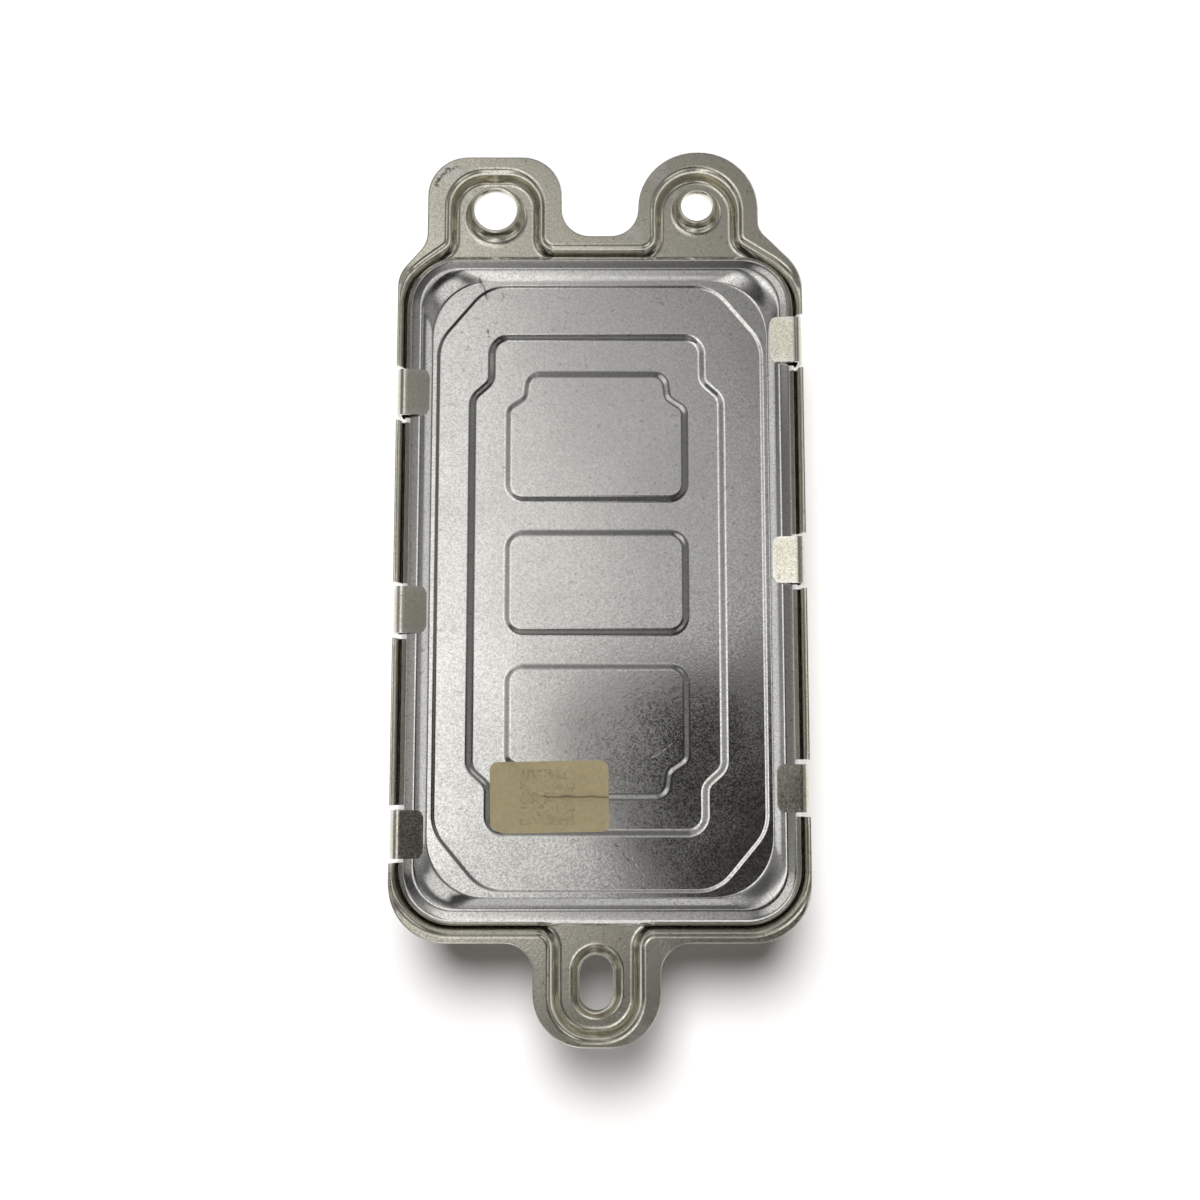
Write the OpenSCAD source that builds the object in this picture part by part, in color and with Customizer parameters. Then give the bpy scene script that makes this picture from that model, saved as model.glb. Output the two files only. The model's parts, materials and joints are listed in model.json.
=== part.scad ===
// Sealed power module for a vehicle lamp: a pressed steel case with three mounting ears,
// an embossed cover clamped by six folded tabs, and the converter board inside.
// Millimetres, +Z up out of the cover. The origin is the centre of the outline,
// on the underside of the case.

/* [Case pressing] */
// Width over the flared side lips
case_w = 62; // [61.6:0.1:62.4]
// Width over the side walls, under the lips
wall_w = 60.6; // [60.4:0.1:60.8]
// Distance from the centre to the rim edge between the two upper ears
rim_head = 54.1; // [53.6:0.1:55]
// Distance from the centre to the rim edge beside the lower ear
rim_foot = 52.8; // [52.4:0.1:54]
// Outer corner radius of the case
case_r = 8.4; // [7:0.2:10]
// Thickness of the case sheet
sheet = 0.6; // [0.5:0.1:0.7]
// Height of the rim's upper face
rim_z = 22.2; // [21:0.2:26]
// Depth of the seat under the rim
seat_drop = 2.2; // [2:0.1:2.6]
// Height of the side lips over the rim
lip_h = 0.4; // [0.2:0.1:0.6]

/* [Can] */
// Width of the deep can under the seat
can_w = 52; // [50:0.5:54]
// Distance from the centre to the can's head wall
can_head = 46.5; // [46:0.1:47.5]
// Distance from the centre to the can's foot wall
can_foot = 45.6; // [45:0.1:46.5]
// Corner radius of the can
can_r = 6; // [4:0.5:8]

/* [Mounting holes] */
// Diameter of the left ear's hole
left_d = 6.6; // [6:0.1:7]
// Place of the left ear's hole across the case
left_x = -16.2; // [-17:0.1:-15.5]
// Place of the left ear's hole along the case
left_y = 58.6; // [57.5:0.1:59]
// Diameter of the right ear's hole
right_d = 4.8; // [4.2:0.1:5.5]
// Place of the right ear's hole across the case
right_x = 15; // [14.5:0.1:15.5]
// Place of the right ear's hole along the case
right_y = 59.2; // [58.5:0.1:60]
// Width of the lower ear's slot
slot_w = 4.8; // [4.2:0.1:5.2]
// Length of the lower ear's slot, along the case
slot_l = 8; // [7:0.1:8.6]
// Place of the lower ear's slot across the case
slot_x = -0.5; // [-1:0.1:0]
// Distance from the centre to the lower ear's slot
slot_y = 58.5; // [58:0.1:59]
// Height of the drawn collars over the ear floors
collar_h = 1.6; // [1:0.1:1.9]
// Wall of the drawn collars
collar_t = 0.4; // [0.3:0.05:0.5]

/* [Cover] */
// Width of the cover
cover_w = 59; // [58.6:0.1:59]
// Distance from the centre to the cover's head edge
cover_head = 51; // [50.6:0.1:51]
// Distance from the centre to the cover's foot edge
cover_foot = 50.3; // [49.9:0.1:50.3]
// Outer corner radius of the cover
cover_r = 8; // [7:0.2:9]
// Thickness of the cover sheet
cover_t = 0.6; // [0.5:0.1:0.7]
// Height of the cover's crown over the case rim
crown_h = 0.3; // [0.1:0.1:0.5]
// Width of the raised border of the cover
border_w = 3.7; // [3.2:0.1:4]
// Drop from the crown to the land inside the border
land_drop = 1.1; // [0.8:0.1:1.2]
// Drop from the land to the eight-sided panel
panel_drop = 0.3; // [0.2:0.1:0.6]
// Drop from the panel to the notched recess
recess_drop = 0.3; // [0.2:0.1:0.6]
// Rise of the three pads from the recess
pad_rise = 0.2; // [0.1:0.1:0.5]

/* [Tabs] */
// Width of each folded tab, along the case
tab_w = 7; // [6:0.2:8]
// Reach of each folded tab, from the case wall inwards
tab_l = 4.2; // [3.6:0.1:4.6]
// Relief slit beside each tab
slit_w = 0.7; // [0.5:0.1:1]

/* [Board] */
// Height of the board's lower face over the base
board_z = 4; // [3.4:0.1:4.4]
// Thickness of the board
board_t = 1.6; // [1:0.1:1.6]
// Diameter of the board screws' threads
screw_d = 3; // [2.5:0.5:3]

/* [Connectors] */
// Reach of the connectors from the can wall
plug_reach = 6.6; // [5.6:0.1:6.8]
// Height of a connector's centre over the base
plug_z = 11; // [10:0.1:11.5]

/* [Hidden] */
$fn = 64;
eps = 0.02;

half_w = case_w / 2;
seat_z = rim_z - seat_drop;
lip_z = rim_z + lip_h;
outer_w = wall_w / 2;
inner_w = outer_w - sheet;
// The side lips start at this height and run between these two ends
lip_base = seat_z + 0.7;
lip_head = 45;
lip_foot = 43.6;

// Ears: centre across, width, far edge and corner radius of each ear's outline
left_ear = [-16.25, 20.7, 66.8, 6.2];
right_ear = [15.1, 18.5, 67.6, 9.2];
foot_ear = [-0.45, 18.7, -67.6, 7.6];
// Pans: the same four values for the sunk floor inside each ear
left_pan = [-16.2, 12.9, 63.8, 4.6];
right_pan = [14.95, 11.7, 64.1, 5.8];
foot_pan = [-0.6, 11.8, -66, 5.2];
ear_fillet = 4.3;
pan_fillet = 2.2;

// Seat around the cover, inside the rim wall
seat_head = 51.5;
seat_foot = 50.8;
seat_r = 8.2;

crown_z = rim_z + crown_h;
land_z = crown_z - land_drop;
panel_z = land_z - panel_drop;
recess_z = panel_z - recess_drop;
pad_z = recess_z + pad_rise;
skirt_z = seat_z + 0.5;
seal_z = seat_z + 0.9;

// Eight-sided panel: edges and corner cuts
panel_x = 24.7;
panel_head = 46.3;
panel_foot = 45.4;
panel_cut_x = 7.4;
panel_cut_y = 8.8;

// Recess and pads: left, right, foot and head edges
recess_box = [-19.5, 18.5, -37, 38.3];
head_pad = [-14, 12.9, 13.1, 32.5];
middle_pad = [-14, 12.9, -7.2, 7.9];
foot_pad = [-13.9, 12.9, -31.7, -12.4];
// Corner notches: from the corner, each next point's distance in and along
recess_notch = [[4.9, 0], [2.8, 2.2], [2.8, 6.6], [0, 9.3]];
pad_notch = [[4.9, 0], [2.7, 2.2], [2.4, 3.6], [0, 6.3]];
plain_corner = [[1.6, 0], [0.5, 0.5], [0, 1.6]];

// Tabs: places along the left and right walls
left_tabs = [29.2, -4, -37.1];
right_tabs = [37.4, 3.5, -30.4];
tab_z = crown_z;

// Label: centre, size and thickness
label_at = [-7.5, -31.7];
label_size = [17.6, 10.5];
label_t = 0.12;

// Inside
board_x = 24.4;
board_head = 44.8;
board_foot = 43.8;
board_top = board_z + board_t;
post_x = 20.6;
post_head = 39.6;
post_foot = 39;
post_d = 6;
roof_z = pad_z - cover_t;
pad_gap = 0.8;
tall_z = roof_z - pad_gap;

steel = "#b9b6ae";
plate = "#a9a9a5";
ferrite = "#3a3a3c";
copper = "#b87333";
plastic = "#202326";
gold = "#c9a55a";

// A rounded rectangle given by its four edges
module rounded(x0, x1, y0, y1, r) {
    translate([x0 + r, y0]) square([x1 - x0 - 2 * r, y1 - y0]);
    translate([x0, y0 + r]) square([x1 - x0, y1 - y0 - 2 * r]);
    for (x = [x0 + r, x1 - r], y = [y0 + r, y1 - r]) translate([x, y]) circle(r);
}

// A filled inside corner at (x, y), opening towards the signs (sx, sy)
module inside_corner(x, y, r, sx, sy) {
    translate([x, y]) mirror([sx < 0 ? 1 : 0, 0]) mirror([0, sy < 0 ? 1 : 0]) difference() {
        translate([-eps, -eps]) square(r + eps);
        translate([r, r]) circle(r);
    }
}

// One ear or pan: a tongue from the body to its far edge, grown by g
module tongue(e, g) {
    away = e[2] > 0 ? 1 : -1;
    y0 = away > 0 ? 40 : e[2] - g;
    y1 = away > 0 ? e[2] + g : -40;
    rounded(e[0] - e[1] / 2 - g, e[0] + e[1] / 2 + g, y0, y1, e[3] + g);
}

// Inside corners on both sides of a tongue's root, at the body edge y
module tongue_roots(e, y, r, g) {
    away = e[2] > 0 ? 1 : -1;
    for (s = [-1, 1]) inside_corner(e[0] + s * (e[1] / 2 + g), y + away * g, r - g, s, away);
}

// Outline of the whole pressing, seen from above
module case_outline() {
    rounded(-half_w, half_w, -rim_foot, rim_head, case_r);
    for (e = [left_ear, right_ear, foot_ear]) tongue(e, 0);
    inside_corner(left_ear[0] + left_ear[1] / 2, rim_head, ear_fillet, 1, 1);
    inside_corner(right_ear[0] - right_ear[1] / 2, rim_head, ear_fillet, -1, 1);
    tongue_roots(foot_ear, -rim_foot, ear_fillet, 0);
}

// Outline of the seat and the three pans, grown by g
module seat_outline(g) {
    rounded(-inner_w - g, inner_w + g, -seat_foot - g, seat_head + g, seat_r + g);
    for (e = [left_pan, right_pan, foot_pan]) tongue(e, g);
    tongue_roots(left_pan, seat_head, pan_fillet, g);
    tongue_roots(right_pan, seat_head, pan_fillet, g);
    tongue_roots(foot_pan, -seat_foot, pan_fillet, g);
}

// Outline of the deep can, grown by g
module can_outline(g) {
    rounded(-can_w / 2 - g, can_w / 2 + g, -can_foot - g, can_head + g, can_r + g);
}

// Outline of the cover, drawn in by d
module cover_outline(d) {
    rounded(-cover_w / 2 + d, cover_w / 2 - d, -cover_foot + d, cover_head - d, cover_r - d);
}

// A slot-shaped outline along Y, grown by g
module slot_outline(g) {
    run = slot_l - slot_w;
    translate([-slot_w / 2 - g, -run / 2]) square([slot_w + 2 * g, run]);
    for (s = [-1, 1]) translate([0, s * run / 2]) circle(slot_w / 2 + g);
}

// Extrude an outline between two heights
module slab(z0, z1) {
    translate([0, 0, z0]) linear_extrude(z1 - z0) children();
}

// A box given by its centre in plan, its size and its lower face
module block(x, y, z, size) {
    translate([x - size[0] / 2, y - size[1] / 2, z]) cube(size);
}

// The pressing's three holes
module mounting_holes() {
    translate([left_x, left_y, 0]) cylinder(h = rim_z + 1, d = left_d);
    translate([right_x, right_y, 0]) cylinder(h = rim_z + 1, d = right_d);
    translate([slot_x, -slot_y, 0]) slab(0, rim_z + 1) slot_outline(0);
}

// The stretch of both long sides that has lips instead of a flat rim, from height z up
module side_zones(z) {
    for (s = [-1, 1]) block(s * (inner_w + 5), (lip_head - lip_foot) / 2, z, [10, lip_head + lip_foot, 5]);
}

// Extrude an outline drawn in X and Z along Y, from y0 to y1
module along(y0, y1) {
    translate([0, y1, 0]) rotate([90, 0, 0]) linear_extrude(y1 - y0) children();
}

// The flared lip of the right wall
module side_lip() {
    along(-lip_foot, lip_head) polygon([[inner_w, lip_base - eps], [outer_w, lip_base - eps],
        [half_w, lip_z - 0.2], [half_w - 0.1, lip_z], [half_w - sheet, lip_z]]);
}

// Drawn collars round the holes
module collars() {
    for (c = [[left_x, left_y, left_d], [right_x, right_y, right_d]]) translate([c[0], c[1], seat_z - eps]) {
        cylinder(h = collar_h + eps, d = c[2] + 2 * collar_t);
        cylinder(h = 0.6, d1 = c[2] + 2.6, d2 = c[2] + 2 * collar_t);
    }
    translate([slot_x, -slot_y, 0]) slab(seat_z - eps, seat_z + collar_h) slot_outline(collar_t);
}

// One folded tab on the right wall, centred on Y = 0
module tab() {
    tip = outer_w - tab_l;
    intersection() {
        along(-tab_w / 2, tab_w / 2) polygon([[inner_w - 0.8, seat_z - sheet], [outer_w, seat_z - sheet],
            [outer_w, tab_z + sheet - 0.3], [outer_w - 0.3, tab_z + sheet], [tip, tab_z + sheet],
            [tip, tab_z], [inner_w, tab_z], [inner_w, seat_z], [inner_w - 0.8, seat_z]]);
        slab(0, tab_z + 1) polygon([[outer_w + 1, -tab_w / 2], [outer_w + 1, tab_w / 2],
            [tip + 1, tab_w / 2], [tip, tab_w / 2 - 1], [tip, 1 - tab_w / 2], [tip + 1, -tab_w / 2]]);
    }
}

// The gap in the right wall that a tab and its two slits take
module tab_gap() {
    gap_l = tab_w + 2 * slit_w;
    translate([inner_w - 0.4, -gap_l / 2, seat_z - sheet - 1]) cube([2, gap_l, 5]);
}

// Put a child at every tab's place, on both walls
module at_tabs() {
    for (y = right_tabs) translate([0, y, 0]) children();
    for (y = left_tabs) translate([0, y, 0]) mirror([1, 0, 0]) children();
}

module case_pan() {
    color(steel) {
        difference() {
            union() {
                difference() {
                    slab(0, seat_z) can_outline(0);
                    slab(sheet, seat_z + 1) can_outline(-sheet);
                }
                slab(seat_z - sheet, seat_z) difference() {
                    seat_outline(sheet);
                    can_outline(-sheet);
                }
                difference() {
                    slab(seat_z - sheet, rim_z) seat_outline(sheet);
                    slab(seat_z - sheet - 1, rim_z + 1) seat_outline(0);
                    side_zones(lip_base);
                }
                difference() {
                    slab(rim_z - sheet, rim_z) case_outline();
                    slab(rim_z - sheet - 1, rim_z + 1) seat_outline(0);
                    side_zones(lip_base);
                }
                for (s = [0, 1]) mirror([s, 0, 0]) side_lip();
                collars();
            }
            mounting_holes();
            at_tabs() tab_gap();
            connector_window(power_w, can_head, 1);
            connector_window(lamp_w, can_foot, -1);
        }
        at_tabs() tab();
    }
}

// Points of a panel with cut corners, grown by g
function cut_rectangle(x, foot, head, cx, cy, g) = [
    [x + g, head - cy], [x - cx, head + g], [cx - x, head + g], [-x - g, head - cy],
    [-x - g, cy - foot], [cx - x, -foot - g], [x - cx, -foot - g], [x + g, cy - foot]];

// Corner points at (x, y) going round from the end edge to the side edge
function corner(x, y, sx, sy, pts) = [for (p = pts) [x - sx * p[0], y - sy * p[1]]];
function backwards(v) = [for (i = [len(v) - 1:-1:0]) v[i]];

// Points of a rectangle with its own corner shape at the head and at the foot
function notched(b, head, foot, g) = concat(
    corner(b[1] + g, b[3] + g, 1, 1, head),
    backwards(corner(b[1] + g, b[2] - g, 1, -1, foot)),
    corner(b[0] - g, b[2] - g, -1, -1, foot),
    backwards(corner(b[0] - g, b[3] + g, -1, 1, head)));

// The three pads' outlines, grown by g
module pad_outlines(g) {
    polygon(notched(head_pad, pad_notch, plain_corner, g));
    polygon(notched(middle_pad, plain_corner, plain_corner, g));
    polygon(notched(foot_pad, plain_corner, pad_notch, g));
}

// The cover's outer form, drawn in by t all over
module cover_form(t) {
    difference() {
        slab(recess_z - cover_t - t, crown_z - t) cover_outline(t);
        slab(land_z - t, crown_z + 1) cover_outline(border_w - t);
        slab(panel_z - t, crown_z + 1)
            polygon(cut_rectangle(panel_x, panel_foot, panel_head, panel_cut_x, panel_cut_y, t));
        difference() {
            slab(recess_z - t, crown_z + 1) polygon(notched(recess_box, recess_notch, recess_notch, t));
            slab(recess_z - 2 * cover_t, pad_z - t) pad_outlines(-t);
        }
    }
}

module cover_plate() {
    color(plate) difference() {
        cover_form(0);
        cover_form(cover_t);
        slab(recess_z - 2 * cover_t, skirt_z) difference() {
            cover_outline(-1);
            cover_outline(cover_t + eps);
        }
    }
}

module seal_bead() {
    color("#26262a") difference() {
        slab(seat_z, seal_z) rounded(-inner_w, inner_w, -seat_foot, seat_head, seat_r);
        slab(skirt_z, seal_z + 1) cover_outline(0);
        slab(seat_z - 1, seal_z + 1) cover_outline(2);
    }
}

module data_label() {
    edge = foot_pad[2];
    head_y = label_at[1] + label_size[1] / 2;
    foot_y = label_at[1] - label_size[1] / 2;
    x0 = label_at[0] - label_size[0] / 2;
    color("#938868") {
        translate([x0, edge - label_t, pad_z]) cube([label_size[0], head_y - edge + label_t, label_t]);
        translate([x0, edge - label_t, recess_z]) cube([label_size[0], label_t, pad_rise + label_t]);
        translate([x0, foot_y, recess_z]) cube([label_size[0], edge - foot_y, label_t]);
    }
}

// Put a child at each board screw
module at_posts() {
    for (x = [-post_x, post_x], y = [-post_foot, post_head]) translate([x, y, 0]) children();
}

module insulator_sheet() {
    color("#c8b98a") difference() {
        slab(sheet, sheet + 0.3) can_outline(-sheet - 0.6);
        at_posts() cylinder(h = board_z, d = post_d + 0.6);
    }
}

module board_posts() {
    color(steel) at_posts() difference() {
        translate([0, 0, sheet]) cylinder(h = board_z - sheet, d = post_d);
        translate([0, 0, sheet + 0.4]) cylinder(h = board_z, d = screw_d);
    }
}

module circuit_board() {
    color("#2f6b3c") difference() {
        slab(board_z, board_top) rounded(-board_x, board_x, -board_foot, board_head, 4.6);
        at_posts() cylinder(h = board_top + 1, d = screw_d + 0.4);
    }
}

module board_screws() {
    color("silver") at_posts() {
        translate([0, 0, sheet + 0.8]) cylinder(h = board_top - sheet - 0.8 + eps, d = screw_d);
        difference() {
            translate([0, 0, board_top]) cylinder(h = 2, d = screw_d * 1.8);
            translate([0, 0, board_top + 0.8]) cylinder(h = 2, d = 1.8, $fn = 6);
        }
    }
}

// Transformer: a pair of E cores round a bobbin, legs along Z
tr_at = [-0.5, 22.8];
tr_size = [26, 18];
tr_split = board_top + (tall_z - board_top) / 2;
leg = 4;
middle_leg = 9;

// One E core standing on height z0, legs up by reach from a back of thickness leg
module e_core(at, size, mid, z0, h) {
    block(at[0], at[1], z0, [size[0], size[1], leg]);
    for (s = [-1, 1]) block(at[0] + s * (size[0] - leg) / 2, at[1], z0, [leg, size[1], h]);
    translate([at[0], at[1], z0]) cylinder(h = h, d = mid);
}

module transformer_core_lower() {
    color(ferrite) e_core(tr_at, tr_size, middle_leg, board_top, tr_split - board_top);
}

module transformer_core_upper() {
    color(ferrite) translate([0, 0, 2 * tr_split]) mirror([0, 0, 1])
        e_core(tr_at, tr_size, middle_leg, 2 * tr_split - tall_z, tall_z - tr_split);
}

module transformer_bobbin() {
    z0 = board_top + leg;
    z1 = tall_z - leg;
    color("#6b4a2c") translate([tr_at[0], tr_at[1], 0]) difference() {
        union() {
            slab(z0 + 0.1, z1 - 0.1) circle(d = middle_leg + 1.8);
            for (z = [z0 + 0.1, z1 - 0.7]) slab(z, z + 0.6) circle(d = 17.2);
        }
        slab(z0 - 1, z1 + 1) circle(d = middle_leg + 0.4);
    }
}

module transformer_winding() {
    z0 = board_top + leg + 0.8;
    z1 = tall_z - leg - 0.8;
    color(copper) translate([tr_at[0], tr_at[1], 0]) slab(z0, z1) difference() {
        circle(d = 16.4);
        circle(d = middle_leg + 2);
    }
}

// Inductor: a closed pot-shaped core with side openings, and its coil
in_at = [-0.5, -22];
in_size = [22, 16];

module inductor_core() {
    h = tall_z - board_top;
    color(ferrite) {
        e_core(in_at, in_size, 8, board_top, h);
        block(in_at[0], in_at[1], tall_z - leg, [in_size[0], in_size[1], leg]);
    }
}

module inductor_bobbin() {
    z0 = board_top + leg;
    z1 = tall_z - leg;
    color("#6b4a2c") translate([in_at[0], in_at[1], 0]) difference() {
        union() {
            slab(z0 + 0.1, z1 - 0.1) circle(d = 9.8);
            for (z = [z0 + 0.1, z1 - 0.7]) slab(z, z + 0.6) circle(d = 13.4);
        }
        slab(z0 - 1, z1 + 1) circle(d = 8.4);
    }
}

module inductor_winding() {
    color(copper) translate([in_at[0], in_at[1], 0])
        slab(board_top + leg + 0.8, tall_z - leg - 0.8) difference() {
            circle(d = 13);
            circle(d = 10);
        }
}

// Input choke: a rod core lying on the board with its coil
choke_at = [8, 38.4];

module choke_core() {
    color(ferrite) translate([choke_at[0] - 6, choke_at[1], board_top + 3.6]) rotate([0, 90, 0]) {
        cylinder(h = 12, d = 4);
        for (z = [0, 10.8]) translate([0, 0, z]) cylinder(h = 1.2, d = 7);
    }
}

module choke_winding() {
    color(copper) translate([choke_at[0] - 4.6, choke_at[1], board_top + 3.6]) rotate([0, 90, 0])
        difference() {
            cylinder(h = 9.2, d = 6.4);
            translate([0, 0, -1]) cylinder(h = 12, d = 4.2);
        }
}

module electrolytic_capacitors() {
    color("#4a4f58") for (y = [10, -10]) translate([-19.4, y, board_top + 4.3]) rotate([-90, 0, 0])
        difference() {
            cylinder(h = 16, d = 8.4);
            translate([0, 0, 1.6]) difference() {
                cylinder(h = 0.8, d = 9);
                translate([0, 0, -1]) cylinder(h = 3, d = 7.8);
            }
        }
}

module film_capacitors() {
    color("#b5482f") {
        for (y = [20.5, 0.5]) block(18.8, y, board_top, [7.6, 17.6, 12]);
        block(18.6, -20.5, board_top, [8, 17.6, 9]);
    }
}

module heat_bar() {
    color("#c9ccd0") block(-0.5, 0.4, board_top, [26, 3.2, tall_z - board_top]);
}

// Put a child at each bridge transistor, facing out from the heat bar
module at_transistors() {
    for (x = [-7, 6], s = [-1, 1]) translate([x, 0.4, board_top]) mirror([0, s < 0 ? 1 : 0, 0])
        translate([0, 1.6, 0]) children();
}

module bridge_transistors() {
    color("#1d1e20") at_transistors() {
        translate([-5, 0, 3]) cube([10, 3.6, 8]);
        for (x = [-2.54, 0, 2.54]) translate([x - 0.4, 1.4, -board_t - 0.6]) cube([0.8, 0.6, board_t + 3.8]);
    }
}

module transistor_clips() {
    color("#d0cfca") for (s = [-1, 1]) translate([0, 0.4, board_top]) mirror([0, s < 0 ? 1 : 0, 0])
        translate([-12, 5.2, 5]) cube([23, 0.6, 4]);
}

module control_chip() {
    color("#1d1e20") block(-12.5, 38.6, board_top, [10, 10, 1.6]);
}

module driver_chips() {
    color("#1d1e20") for (x = [-8, 1.5]) block(x, -36.4, board_top, [5, 4, 1.5]);
}

module chip_capacitors() {
    color("#b79a6d") {
        for (i = [0:5]) block(-17.4 + i * 1.9, -33.2, board_top, [1.2, 2, 1]);
        for (i = [0:4]) block(-4 + i * 1.9, 33.8, board_top, [1.2, 2, 1]);
    }
}

module chip_resistors() {
    color("#2b2b2e") {
        for (i = [0:5]) block(1 + i * 2.1, -32.4, board_top, [1.6, 0.8, 0.6]);
        for (i = [0:3]) block(-21.5, 29.6 + i * 1.6, board_top, [1.6, 0.8, 0.6]);
    }
}

module current_shunt() {
    color("#c58b5f") translate([13.4, -38.6, board_top]) {
        for (x = [0, 6]) translate([x, -1.5, 0]) cube([0.8, 3, 2.4]);
        translate([0, -1.5, 1.8]) cube([6.8, 3, 0.6]);
    }
}

module input_fuse() {
    color("#d8d4c6") block(18.6, 32, board_top, [6, 2.8, 2.8]);
}

module thermal_pads() {
    color("#8d8f9c") {
        block(tr_at[0], tr_at[1] - 0.4, tall_z, [18, 15, pad_gap]);
        block(-0.5, 0.4, tall_z, [24, 12, pad_gap]);
        block(in_at[0], in_at[1], tall_z, [18, 14, pad_gap]);
    }
}

module ground_strap() {
    top = panel_z - cover_t;
    color("#d2b36a") translate([21.6, -31.4, board_top]) {
        translate([-1.5, -2, 0]) cube([3, 4, 0.4]);
        translate([-1.5, -2, 0]) cube([3, 0.4, top - board_top]);
        translate([-1.5, -2, top - board_top - 0.4]) cube([3, 4, 0.4]);
    }
}

// Connectors: a shrouded plug through the can's end wall
power_w = 15;
lamp_w = 12;
plug_h = 7.6;
shroud = 1.2;
flange_t = 1.5;
gasket_t = 0.6;
lip_over = 1.6;

// Rounded outline in the plane of an end wall, w wide and h high
module wall_outline(w, h, r) {
    rounded(-w / 2, w / 2, -h / 2, h / 2, r);
}

// Extrude an outline outwards along Y, from y0 to y1 as measured from the centre
module outwards(y0, y1, way) {
    translate([0, way * y0, plug_z]) rotate([90, 0, 0]) mirror([0, 0, way > 0 ? 1 : 0])
        linear_extrude(y1 - y0) children();
}

// The window that a connector of width w needs in the end wall at distance y
module connector_window(w, y, way) {
    outwards(y - sheet - 1, y + 1, way) wall_outline(w + 0.2, plug_h + 0.2, 1.3);
}

module connector_body(w, y, way) {
    difference() {
        union() {
            outwards(y - sheet - 3, y + gasket_t + flange_t, way) wall_outline(w, plug_h, 1.2);
            outwards(y + gasket_t, y + gasket_t + flange_t, way)
                wall_outline(w + 2 * lip_over, plug_h + 2 * lip_over, 2);
            outwards(y + gasket_t, y + plug_reach, way) wall_outline(w, plug_h, 1.2);
        }
        outwards(y + gasket_t, y + plug_reach + 1, way)
            wall_outline(w - 2 * shroud, plug_h - 2 * shroud, 0.8);
    }
}

module connector_gasket(w, y, way) {
    outwards(y, y + gasket_t, way) difference() {
        wall_outline(w + 2 * lip_over - 0.6, plug_h + 2 * lip_over - 0.6, 1.8);
        wall_outline(w, plug_h, 1.2);
    }
}

// Pins from the mating face back through the body and down into the board
module connector_pins(xs, y, way) {
    back = y - sheet - 5;
    for (x = xs) {
        outwards(back, y + plug_reach - 1.6, way) translate([x - 0.6, -0.4]) square([1.2, 0.8]);
        translate([x - 0.6, way * (back + 0.4) - 0.4, board_z - 0.6]) cube([1.2, 0.8, plug_z - board_z + 1]);
    }
}

// The body with its pins' passages cut out
module pierced_body(w, y, way, xs) {
    difference() {
        connector_body(w, y, way);
        connector_pins(xs, y, way);
    }
}

power_xs = [-4, 0, 4];
lamp_xs = [-2.6, 2.6];

module power_header() {
    color(plastic) pierced_body(power_w, can_head, 1, power_xs);
}

module power_pins() {
    color(gold) connector_pins(power_xs, can_head, 1);
}

module power_seal() {
    color("#8a3b2a") connector_gasket(power_w, can_head, 1);
}

module lamp_socket() {
    color(plastic) pierced_body(lamp_w, can_foot, -1, lamp_xs);
}

module lamp_pins() {
    color(gold) connector_pins(lamp_xs, can_foot, -1);
}

module lamp_seal() {
    color("#8a3b2a") connector_gasket(lamp_w, can_foot, -1);
}

case_pan();
cover_plate();
seal_bead();
data_label();
insulator_sheet();
board_posts();
circuit_board();
board_screws();
transformer_core_lower();
transformer_core_upper();
transformer_bobbin();
transformer_winding();
inductor_core();
inductor_bobbin();
inductor_winding();
choke_core();
choke_winding();
electrolytic_capacitors();
film_capacitors();
heat_bar();
bridge_transistors();
transistor_clips();
control_chip();
driver_chips();
chip_capacitors();
chip_resistors();
current_shunt();
input_fuse();
thermal_pads();
ground_strap();
power_header();
power_pins();
power_seal();
lamp_socket();
lamp_pins();
lamp_seal();
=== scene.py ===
"""Looks of a sealed lamp power module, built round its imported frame.

The case pressing, the embossed cover, the seal and the label are made here as sheet-metal
meshes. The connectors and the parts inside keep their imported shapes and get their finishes.
Lengths in the classes are millimetres; the meshes that leave them are in metres.
"""

import json
import logging
import math
from collections.abc import Callable, Sequence
from dataclasses import dataclass, replace
from enum import Enum
from functools import partialmethod

import bmesh
import bpy
import numpy as np
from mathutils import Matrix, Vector
from mathutils.geometry import delaunay_2d_cdt


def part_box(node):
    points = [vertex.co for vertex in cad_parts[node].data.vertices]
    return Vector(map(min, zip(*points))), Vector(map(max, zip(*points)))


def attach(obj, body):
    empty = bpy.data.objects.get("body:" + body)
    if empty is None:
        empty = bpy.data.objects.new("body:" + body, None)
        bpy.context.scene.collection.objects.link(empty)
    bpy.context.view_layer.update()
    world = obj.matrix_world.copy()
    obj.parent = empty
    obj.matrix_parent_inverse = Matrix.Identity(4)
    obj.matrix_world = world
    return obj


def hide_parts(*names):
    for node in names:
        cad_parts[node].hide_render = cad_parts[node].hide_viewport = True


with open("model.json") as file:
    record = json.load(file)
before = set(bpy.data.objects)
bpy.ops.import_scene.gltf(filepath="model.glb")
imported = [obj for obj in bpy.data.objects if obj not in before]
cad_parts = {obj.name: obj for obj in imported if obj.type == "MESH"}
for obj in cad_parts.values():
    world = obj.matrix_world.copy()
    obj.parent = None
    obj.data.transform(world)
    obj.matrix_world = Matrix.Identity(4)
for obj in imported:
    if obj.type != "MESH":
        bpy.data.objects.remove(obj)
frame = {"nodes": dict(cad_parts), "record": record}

MM = 0.001
BODY = "root"
LOG = logging.getLogger("lamp_module")
LEAST_RADIUS = 0.04
LEVEL_RUN = 0.1
MERGE_GAP = 1e-6

Profile = Sequence[tuple[float, float]]
Shaper = Callable[[np.ndarray], np.ndarray]
Socket = bpy.types.NodeSocket
Rgb = tuple[float, float, float]
Rgba = tuple[float, float, float, float]


# ---------------- outlines


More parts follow.
